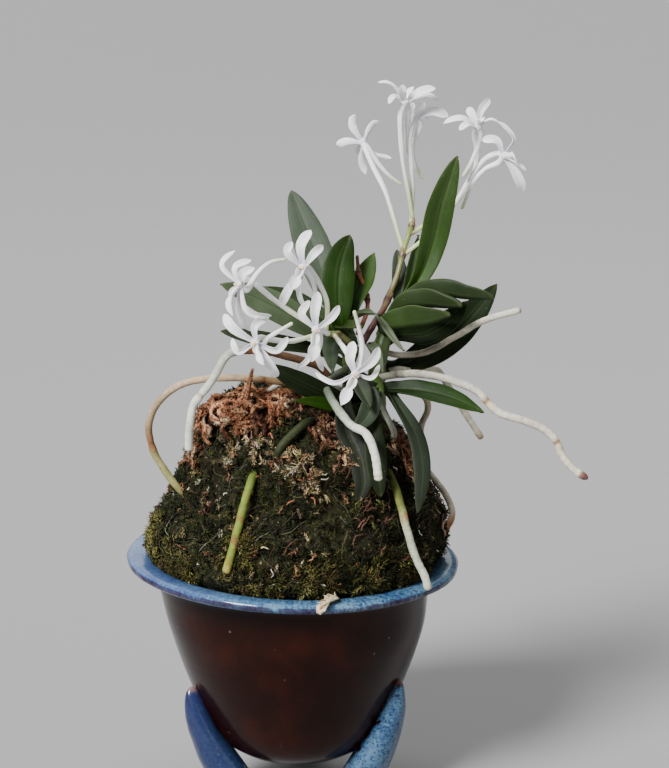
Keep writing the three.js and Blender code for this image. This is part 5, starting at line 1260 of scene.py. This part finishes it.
# Up the dome: height, radius, and how far its middle lies to the right of the axis.
DOME_Z, DOME_RADIUS, DOME_MIDDLE = np.transpose(rows_of(
    "79 45.2 0.4, 81 46.7 0.8, 85 47.2 1.4, 92 45.8 2.4, 99.5 42.4 3, 107 38.8 3.2, 114 35.6 3, 120 31.8 2, "
    "125.5 27.4 0, 129.8 21.4 -1, 132.6 13.5 -3, 133.8 5 -4, 134 0.3 -4"))
DOME_RUN = np.append(0, np.cumsum(np.hypot(np.diff(DOME_Z), np.diff(DOME_RADIUS))))
DOME_REACH = DOME_RUN[-1]
DOME_SHARE = DOME_RUN / DOME_REACH
BOWL_FILL = rows_of("12 17, 19 18.5, 29 31.7, 36.4 52.6, 40.4 72.8, 42.4 76.6")


def lumps(angle, z):
    """Height of the mound's lumps: crossed waves, from about -1 to 1."""
    return (0.5 * np.sin(7 * angle + 0.21 * z) * np.cos(0.33 * z - 3 * angle)
            + 0.35 * np.sin(12 * angle - 0.47 * z + 1.3) + 0.25 * np.sin(0.9 * z + 5 * angle))


def on_dome(angle, share, lift=0.0):
    """Places on the mound and the directions out of it. share runs from 0 at the lip to 1 at the top, by
    length along the section, and lift is the height over the surface."""
    section = lambda column, at: eased(np.transpose([DOME_SHARE, column]), at)
    z, r, middle = (section(column, share) for column in (DOME_Z, DOME_RADIUS, DOME_MIDDLE))
    dz, dr = (section(column, share + 0.012) - here for column, here in ((DOME_Z, z), (DOME_RADIUS, r)))
    slope = np.maximum(np.hypot(dz, dr), 1e-6)
    out_r = np.where(share > 0.985, 0.05, dz / slope)
    out_z = np.where(share > 0.985, 1.0, -dr / slope)
    relief = smoothstep(z, RIM_TOP, RIM_TOP + 8) * smoothstep(r, 2, 12)
    place = polar(r + 1.2 * relief * lumps(angle, z) + lift * out_r, angle,
                  z + 0.4 * relief * lumps(angle + 1, z) + lift * out_z)
    place[..., 0] += middle
    return hand_thrown(place), unit(polar(out_r, angle, out_z))


def spots_on_dome(draw, count, low, high):
    """Evenly scattered angles and shares: more of them where the ring is longer."""
    grid = np.linspace(low, high, 400)
    weight = np.cumsum(np.interp(grid, DOME_SHARE, DOME_RADIUS) + 0.6)
    share = np.interp(draw.uniform(0, 1, count) * weight[-1], weight, grid)
    return draw.uniform(0, 2 * math.pi, count), share


def lay_on_dome(draw, angle, share, length, heading, spread, wobble, lift, arch, steps):
    """Paths that follow the mound. heading is the angle above level in which each sets off. It turns by
    about spread over the length, and sways by wobble. The height over the surface lies in lift, with up to
    arch more in the middle."""
    each = (len(angle), 1)
    curl = draw.normal(0, spread, each)
    lift = draw.uniform(*lift, each)
    arch = draw.uniform(0, arch, each)
    phase = draw.uniform(0, 2 * math.pi, each)
    t = np.linspace(0, 1, steps)
    turn = heading[:, None] + curl * t + wobble * np.sin(2.6 * math.pi * t + phase)
    step = length[:, None] / (steps - 1)
    aside, upward = (np.cumsum(move, 1) - move for move in (np.cos(turn) * step, np.sin(turn) * step))
    radius = np.interp(share, DOME_SHARE, DOME_RADIUS)[:, None] + 1.5
    height = lift + arch * np.sin(math.pi * t) + 0.35 * np.sin(9 * t + phase)
    where = np.clip(share[:, None] + upward / DOME_REACH, -0.02, 0.99)
    return on_dome(angle[:, None] + aside / radius, where, height)


def strands(paths, out, radius, sides, taper=0.45, flat=1.0):
    """Thin tubes round many paths at once: [pieces, steps, 3] and the direction out of the mound give the
    frames. flat below 1 makes them ribbons."""
    ahead = unit(np.gradient(paths, axis=1))
    side = unit(np.cross(ahead, out))
    t = np.linspace(0, 1, paths.shape[1])
    ends = np.sqrt(np.clip(1 - np.abs(2 * t - 1) ** 6, 0.02, 1)) * mix(1.0, taper, t)
    turn = turns(sides)[:, None]
    ring = np.cross(side, ahead)[:, :, None] * flat * np.cos(turn) + side[:, :, None] * np.sin(turn)
    return paths[:, :, None] + ring * (np.reshape(radius, (-1, 1)) * ends)[..., None, None]


def leaflets(draw, paths, out, count, length, width, splay, core, taper=0.5, shrink=1.0):
    """Small pointed scales set round many paths at once, each a quarter turn and a bit after the one before.
    They stand on a stem core thick, which shrinks to the given share at its tip. Returns their corners
    [pieces * count, 4, 3] and which path each belongs to."""
    pieces, steps, _ = paths.shape
    scatter = lambda low, high: draw.uniform(low, high, (pieces, count))
    t = (np.arange(count) + 0.5 + scatter(-0.3, 0.3)) / count
    place = np.clip(t, 0, 1) * (steps - 1)
    low = np.minimum(place.astype(int), steps - 2)
    row = np.arange(pieces)[:, None]
    centre, heading, outward = (
        mix(field[row, low], field[row, low + 1], (place - low)[..., None])
        for field in (paths, unit(np.gradient(paths, axis=1)), np.broadcast_to(out, paths.shape)))
    heading = unit(heading)
    side = unit(np.cross(heading, outward))
    turn = (np.arange(count) * 2.4 + scatter(-0.5, 0.5))[..., None]
    away = np.cross(side, heading) * np.cos(turn) + side * np.sin(turn)
    angle = np.radians(splay) * scatter(0.6, 1.35)[..., None]
    size = (length * mix(1.0, taper, t) * scatter(0.7, 1.25))[..., None]
    point = (heading * np.cos(angle) + away * np.sin(angle)) * size
    half = 0.5 * width * mix(1.0, taper, t)[..., None]
    foot = centre + away * 0.5 * (core * mix(1.0, shrink, t))[..., None]
    belly = foot + 0.38 * point + (away * np.cos(angle) - heading * np.sin(angle)) * half * 0.9
    beside = np.cross(heading, away) * half
    wide = foot + 0.3 * point
    corners = np.stack([wide + beside, wide - beside, mix(foot - 0.12 * point, belly, 0.45), foot + point], 2)
    return corners.reshape(-1, 4, 3), np.repeat(np.arange(pieces), count)


def near(places, spots):
    """How near places are to spots (x, y, z, radius): 1 in a spot's inner half, 0 well beyond its radius."""
    level = np.zeros(places.shape[:-1])
    for *middle, radius in spots:
        gap = np.linalg.norm(places - middle, axis=-1)
        level = np.maximum(level, 1 - smoothstep(gap, 0.55 * radius, 1.15 * radius))
    return level


BROWN_SPOTS = rows_of(
    "10.6 -25 126 6, 19 -29 118 6.5, 25 -29 112 4.5, 36 -9 116 7, 39.5 -12 109 6.5, -31 -8 115 5.5, "
    "-28 12 118 8, 12 26 122 8, -8 32 112 7, 34 18 106 7, -38 16 98 6")
RED_SPOTS = rows_of("22 -37 101 6, 47 -9 90 4.5, 30 -35 100 3.5")
CREAM_SPOTS = rows_of(
    "-17.3 -23 123 4.5, -11 -27 122 4, -2.4 -31 120 5, 3 -34 116 5, 6 -37 111 4.5, -20 -25 116 4, "
    "19 -29 119 4, -30 2 121 6, 20 24 120 7, 0 40 100 5")
GREY_SPOTS = rows_of(
    "-20.7 -25 116 6, -14 -31 114 7, 0 -35 113 6, 42 -11 103 6, 16 -40 99 4, 40 10 100 7, -20 34 104 8")
OLIVE_SPOTS = rows_of(
    "-37 -27 80 12, -44 -10 84 10, 38 -28 80 10, -17 -41 93 7, 8 -45 84 9, -9.5 -45 79 8, 46 6 84 10, "
    "-30 34 84 12, 14 44 84 12, 26 -40 84 7")


def make_mound():
    """The packed fibre under the moss: the bowl's filling and the dome, closed, with fine noise on the dome,
    dark, and browner or greener in patches."""
    skin = Skin()
    angle = turns(200)
    share = np.linspace(0, 1, 96)[:, None]
    dome, out = on_dome(angle, share)
    rough = 0.5 * ripple(dome, 6.0, 301) + 0.36 * ripple(dome, 2.4, 302) + 0.2 * ripple(dome, 1.1, 303)
    edge = smoothstep(dome[..., 2], RIM_TOP + 1, RIM_TOP + 6)
    dome = dome + out * ((rough - 1.3) * edge * smoothstep(-share, -0.99, -0.9))[..., None]
    fill_r, fill_z = np.transpose(BOWL_FILL)[..., None]
    rings = np.concatenate([hand_thrown(polar(fill_r, angle, fill_z)), dome])
    slow, fast = (ripple(rings, size, seed)[..., None] for size, seed in ((17.0, 304), (3.4, 305)))
    tint = mix(colour("16170d"), colour("262813"), np.clip(0.5 + 0.5 * slow, 0, 1))
    tint = mix(tint, colour("2a2016"), np.clip(0.6 * fast, 0, 0.7))
    tint = mix(tint, colour("3f2c1e"), 0.6 * near(rings, BROWN_SPOTS)[..., None])
    skin.add(rings, tint)
    skin.piece("moss_mound_core", PACKED, ["moss_mound"])


def flow(places, seed):
    """A slowly wandering angle, so that neighbours lie nearly the same way."""
    return 2.2 * math.pi * ripple(places, 26.0, seed)


def make_fibres():
    """Thin dark strands that wrap the mound, mostly level, as the moss was bound on, and some pale ones."""
    draw = np.random.default_rng(77)
    skin = Skin()
    count = 1350
    angle, share = spots_on_dome(draw, count, 0.02, 0.92)
    heading = 0.25 * flow(on_dome(angle, share)[0], 78) + draw.normal(0, 0.35, count)
    heading = heading + math.pi * (draw.uniform(0, 1, count) < 0.5)
    heading = heading + (draw.uniform(0, 1, count) < 0.12) * draw.uniform(0, 6.28, count)
    length = draw.uniform(4, 13, count)
    paths, out = lay_on_dome(draw, angle, share, length, heading, 0.5, 0.25, (-0.8, 0.35), 0.7, 8)
    tint = pick(draw, "5 22231a, 4 2e3023, 3 3f402e, 2 5a563f, 1.2 4a3524, 0.5 8d8b7c", count)
    # Near the grey spots some strands are made paler grey: partly their own grey, partly a painted sheen of
    # wet strands.
    grey = near(paths[:, 4], GREY_SPOTS) * (draw.uniform(0, 1, count) < 0.4)
    tint = mix(tint, colour("6d7066"), 0.7 * grey[:, None])
    skin.add(strands(paths, out, draw.uniform(0.09, 0.21, count), 3), tint)
    skin.piece("moss_fibres", MOSS, ())


def make_shoots(name, seed, count, band, size, leaf_count, leaf_size, splay, lift, material, palette,
                spots=None, upright=0.2, share_near=1.0, core=0.2, order=0.6):
    """Moss shoots: a thin stem set with pointed scales. Each lies on the mound and lifts towards its tip.
    order is how closely neighbours lie the same way, from 0 to 1, and spots says where most of them grow."""
    draw = np.random.default_rng(seed)
    skin = Skin()
    angle, share = spots_on_dome(draw, count if spots is None else 14 * count, *band)
    place, _ = on_dome(angle, share)
    if spots is not None:
        rank = near(place, spots) * share_near + draw.uniform(0, 1, len(share)) * (1.02 - 0.9 * share_near)
        chosen = np.argsort(-rank)[:count]
        angle, share, place = angle[chosen], share[chosen], place[chosen]
    heading = mix(draw.uniform(0, 2 * math.pi, count), flow(place, seed) + draw.normal(0, 0.5, count),
                  draw.uniform(0, 1, count) < order)
    length = draw.uniform(*size, count)
    paths, out = lay_on_dome(draw, angle, share, length, heading, 0.9, 0.3, lift, 0.5, 5)
    rise = np.linspace(0, 1, 5) ** 1.6 * (length * draw.uniform(0.02, upright, count))[:, None]
    clump = np.clip(ripple(place, 8.0, 700), -1, 1)[:, None]
    paths = paths + out * (rise + 0.55 * clump)[..., None]
    # Lighter where the clumps rise and darker in the hollows between them: painted light and shade.
    tint = pick(draw, palette, count) * (1.05 + 0.4 * clump)
    tint = tint * (1 + 0.25 * ripple(place, 12.0, seed + 1)[:, None])
    skin.add(strands(paths, out, core, 3, 0.6), tint * 0.75)
    corners, owner = leaflets(draw, paths, out, leaf_count, *leaf_size, splay, core)
    tip = np.tile((np.arange(leaf_count) + 0.5) / leaf_count, count)[:, None]
    shade = draw.uniform(0.7, 1.25, (len(owner), 1)) * mix(0.7, 1.45, tip**1.5)
    skin.add_scales(corners, tint[owner] * shade)
    skin.piece(f"moss_{name}_shoots", material, ())


def make_fragments():
    """Scattered scraps of old moss: cream and tan single leaves and short curls, and white specks of grit."""
    draw = np.random.default_rng(91)
    skin = Skin()
    total = 6000
    angle, share = spots_on_dome(draw, total, 0.02, 0.93)
    place, _ = on_dome(angle, share)
    level = near(place, CREAM_SPOTS) + 0.5 * near(place, GREY_SPOTS) + 0.14
    keep = draw.uniform(0, 1, total) < 0.16 * level
    angle, share = angle[keep], share[keep]
    count = len(angle)
    length = draw.uniform(1.2, 4.2, count)
    heading = draw.uniform(0, 2 * math.pi, count)
    paths, out = lay_on_dome(draw, angle, share, length, heading, 1.6, 0.4, (-0.1, 0.7), 0.7, 6)
    tint = pick(draw, "3 a3906a, 3 b5a884, 2 8a6d47, 1.5 c6c1ae, 1 955a3a, 1 7c8168", count)
    skin.add(strands(paths, out, draw.uniform(0.14, 0.42, count), 4, 0.4, 0.45), tint)
    grains = 420
    place, _ = on_dome(*spots_on_dome(draw, grains, 0.0, 0.96), draw.uniform(-0.6, 0.5, grains))
    size = 0.34 * draw.uniform(0.4, 1.0, (grains, 1, 1)) ** 2
    corners = place[:, None] + unit(draw.normal(size=(grains, 4, 3))) * size
    tint = np.where(draw.uniform(0, 1, (grains, 1)) < 0.6, colour("c9c9c4"), colour("8c7450"))
    skin.add_scales(corners, tint * draw.uniform(0.6, 1.1, (grains, 1)))
    skin.piece("moss_fragments", PALE_MOSS, ())


make_mound()
make_fibres()
make_shoots("green", 401, 1980, (0.0, 0.94), (3.0, 6.5), 15, (2.2, 0.72), 42, (-0.9, 0.3), MOSS,
            "4 1c210c, 4 262c12, 3 323817, 2 444420, 1.5 36271a, 1 5d5a2c")
make_shoots("olive", 402, 1050, (0.0, 0.7), (3.0, 6.5), 16, (2.4, 0.85), 40, (-0.9, 0.5), MOSS,
            "3 413f19, 3 545025, 2 6d6834, 2 363a18, 1.5 5b4527, 1 7d784a", OLIVE_SPOTS, 0.34, share_near=0.6)
make_shoots("brown", 403, 330, (0.1, 0.95), (3.5, 7.5), 26, (1.5, 0.8), 20, (-0.6, 0.6),
            DEAD_MOSS, "3 744a33, 3 8a5e44, 2 9d7357, 2 5a3725, 1 b29273", BROWN_SPOTS, 0.3, core=0.7,
            order=0.3)
make_shoots("red", 404, 75, (0.05, 0.8), (4.0, 8.0), 12, (1.3, 0.5), 24, (-0.3, 0.6), DEAD_MOSS,
            "3 74503f, 2 8e6752, 2 583c30, 1 ab8c78", RED_SPOTS, 0.25, core=0.26, order=0.9)
make_shoots("cream", 405, 300, (0.05, 0.93), (1.6, 3.8), 13, (1.9, 0.85), 30, (-0.5, 0.5),
            PALE_MOSS, "3 9c8862, 2 b3a27d, 3 9a7052, 1 c6bca0, 1 7f7848, 1 744f3c", CREAM_SPOTS, 0.34,
            share_near=0.7, core=0.36, order=0.0)
make_fragments()

# -------------------------------------------------------------------------------- dry cap

CAP_MIDDLE, CAP_REACH = rows_of("-12.7 -12 129.3, 16.6 12.6 6.8")
SPIKE = rows_of("-14.5 -17 133, -13.6 -19.5 138.4, -12 -21.5 145.2")


def on_cap(tilt, turn, lift=0.0):
    """Places on the leaning pad and the directions out of it. tilt is 0 on top."""
    ball = polar(np.sin(tilt), turn, np.cos(tilt))
    swell = 1 + 0.09 * lumps(turn, 14 * ball[..., 2]) * (1 - np.abs(ball[..., 2]))
    out = unit(ball / CAP_REACH)
    place = ball * CAP_REACH * swell[..., None] + CAP_MIDDLE + out * np.asarray(lift)[..., None]
    place[..., 2] += 2.6 * ball[..., 0] - 0.6
    return place, out


def make_cap():
    """The dry cap: a rough pad matted with plump, curled, scaly dead shoots that lie over one another, with
    hollows between the clumps, and a tuft that stands up as a spike."""
    draw = np.random.default_rng(123)
    skin = Skin()
    place, out = on_cap(np.linspace(math.pi - 0.03, 0.03, 44)[:, None], turns(80))
    rough = 0.9 * ripple(place, 5.0, 501) + 0.4 * ripple(place, 1.8, 502) - 2.6
    place = place + out * rough[..., None]
    level = np.clip(0.5 + 0.5 * ripple(place, 3.0, 503), 0, 1)[..., None]
    skin.add(place, mix(colour("170d07"), colour("2e1b10"), level))
    count = 210
    tilt = np.arccos(1 - 1.3 * draw.uniform(0, 1, count))
    foot, out = on_cap(tilt, draw.uniform(0, 2 * math.pi, count), draw.uniform(-2.2, -0.4, count))
    foot, out = foot[:, None], out[:, None]
    level = unit(np.cross(out, draw.normal(size=(count, 1, 3))))
    step = draw.uniform(5.0, 11.0, (count, 1, 1)) / 12
    t = np.linspace(0, 1, 13)
    bend = draw.normal(0, 3.0, (count, 1)) * t + 0.6 * np.sin(6 * t + draw.uniform(0, 6.28, (count, 1)))
    move = (level * np.cos(bend)[..., None] + np.cross(out, level) * np.sin(bend)[..., None]) * step
    paths = foot + np.cumsum(move, 1) - move[:, :1]
    far = np.linalg.norm(paths - foot, axis=-1)
    stands = (draw.uniform(0, 1, (count, 1)) < 0.13) * draw.uniform(2.0, 4.2, (count, 1))
    height = draw.uniform(0.4, 2.4, (count, 1)) * np.sin(math.pi * t) + stands * t - 0.034 * far**2
    paths = paths + out * height[..., None]
    tint = pick(draw, "4 8f5e40, 4 a3714f, 3 74462d, 2 b58b69, 1 553422, 0.6 c7ab8a", count)
    pale = near(paths[:, 4], rows_of("-29 -13 121 5, -25 -20 121 4"))[:, None]
    tint = mix(tint, colour("bfae92"), 0.6 * pale)
    thick = draw.uniform(0.55, 0.95, count)
    skin.add(strands(paths, out, thick, 7, 0.5), tint * 0.9)
    corners, owner = leaflets(draw, paths, out, 40, 1.35, 0.8, 17, 1.7 * thick[:, None], 0.7, 0.5)
    skin.add_scales(corners, tint[owner] * draw.uniform(0.8, 1.2, (len(owner), 1)))
    count = 11
    u = np.linspace(0, 1, 10)
    centre, ahead, _ = spline(SPIKE, u)
    spread = (1.3 * (1 - u) ** 0.8 + 0.1) * (0.4 + 0.3 * (np.arange(count) % 3))[:, None]
    paths = centre + spread[..., None] * spokes(ahead, 2.4 * np.arange(count)).swapaxes(0, 1)
    out = unit(paths - centre + 1e-4)
    tint = pick(draw, "2 a3705a, 2 b1805f, 1 8f5c43", count)
    skin.add(strands(paths, out, 0.5, 5, 0.3), tint)
    corners, owner = leaflets(draw, paths, out, 26, 1.6, 0.8, 20, 0.6)
    skin.add_scales(corners, tint[owner] * draw.uniform(0.8, 1.25, (len(owner), 1)))
    skin.piece("dry_moss_cap_shoots", DEAD_MOSS, ["dry_moss_cap"])


def flake_section(u, s, half):
    """The flake across: a crumpled trough, ragged along its edges."""
    z = half * 0.32 * np.abs(s) ** 1.5 + 0.16 * np.sin(17 * u + 2.5 * s)
    return half * s * (1 + 0.12 * np.sin(31 * u)), z, 0.75 * np.sqrt(np.clip(1 - s**4, 0, 1)) + 0.04


def make_scrap():
    """A pale flake that has dropped on the lip: a crumpled blade with small curls on it."""
    draw = np.random.default_rng(9)
    skin = Skin()
    path = rows_of("14.6 -46.6 79, 12.6 -49.6 79.7, 10.8 -53 79.3, 8.6 -55.2 76.6")
    widths = rows_of("0 0.4, 0.12 1.3, 0.3 1.7, 0.6 1.1, 0.85 1.6, 0.95 1.1, 1 0.1")
    up = np.array([0, -0.3, 1.0])
    rings, u, v, _, _ = blade(path, lambda w: eased(widths, w), flake_section, up, up, 44, 13, 0.2)
    level = np.clip(0.55 + 0.5 * ripple(rings, 1.1, 601), 0, 1)[..., None]
    skin.add(rings, mix(colour("a98d68"), colour("d9c9a8"), level), u, v)
    count = 16
    foot, _, _ = spline(path, draw.uniform(0.05, 0.95, count))
    out = unit(up + 0.4 * draw.normal(size=(count, 1, 3)))
    side = unit(np.cross(out, draw.normal(size=(count, 1, 3))))
    t = np.linspace(0, 1, 7)[:, None]
    paths = foot[:, None] + out * (0.3 + 0.7 * np.sin(2.6 * t)) + side * 2.0 * t
    tint = pick(draw, "2 c9b48c, 2 dccfae, 1 a1835c", count)
    skin.add(strands(paths, out, draw.uniform(0.16, 0.3, count), 5, 0.5), tint)
    skin.piece("dry_moss_flake", PALE_MOSS, ["dry_moss_scrap"])


make_cap()
make_scrap()

# -------------------------------------------------------------------------------- floor, light


def make_floor():
    """A wide plain floor."""
    half = 9.0
    mesh = bpy.data.meshes.new("floor")
    corners = [(-half, -half, 0), (half, -half, 0), (half, half, 0), (-half, half, 0)]
    mesh.from_pydata(corners, [], [(0, 1, 2, 3)])
    material = bpy.data.materials.new("floor_pale")
    material.use_nodes = True
    shader = material.node_tree.nodes["Principled BSDF"]
    shader.inputs["Base Color"].default_value = (0.29, 0.29, 0.294, 1)
    shader.inputs["Roughness"].default_value = 0.75
    mesh.materials.append(material)
    place_object("floor", mesh)


def make_light(name, kind, power, place, turn, **settings):
    """A lamp at a place in metres, turned by angles in radians."""
    lamp = bpy.data.lights.new(name, kind)
    lamp.energy = power
    for key, value in settings.items():
        setattr(lamp, key, value)
    place_object(name, lamp, place, turn)


make_floor()
for name, power, spread, lean, bearing in (("key_light", 7.2, 20, 50, -38), ("back_light", 1.1, 70, -52, 22)):
    make_light(name, "SUN", power, (0, 0, 0), (math.radians(lean), 0, math.radians(bearing)),
               angle=math.radians(spread))
# The square lights look at the axis, at the height given after their size.
for name, power, size, aim, (x, y, z) in (("fill_light", 2.0, 0.9, 0.12, (0.9, -0.7, 0.5)),
                                          ("top_light", 5.0, 0.6, 0.14, (0.1, 0.5, 1.1))):
    make_light(name, "AREA", power, (x, y, z), (math.atan2(math.hypot(x, y), z - aim), 0, math.atan2(x, -y)),
               shape="SQUARE", size=size)
world = bpy.data.worlds.new("studio")
world.use_nodes = True
world.node_tree.nodes["Background"].inputs["Color"].default_value = (1.0, 1.0, 1.0, 1)
world.node_tree.nodes["Background"].inputs["Strength"].default_value = 0.15
bpy.context.scene.world = world
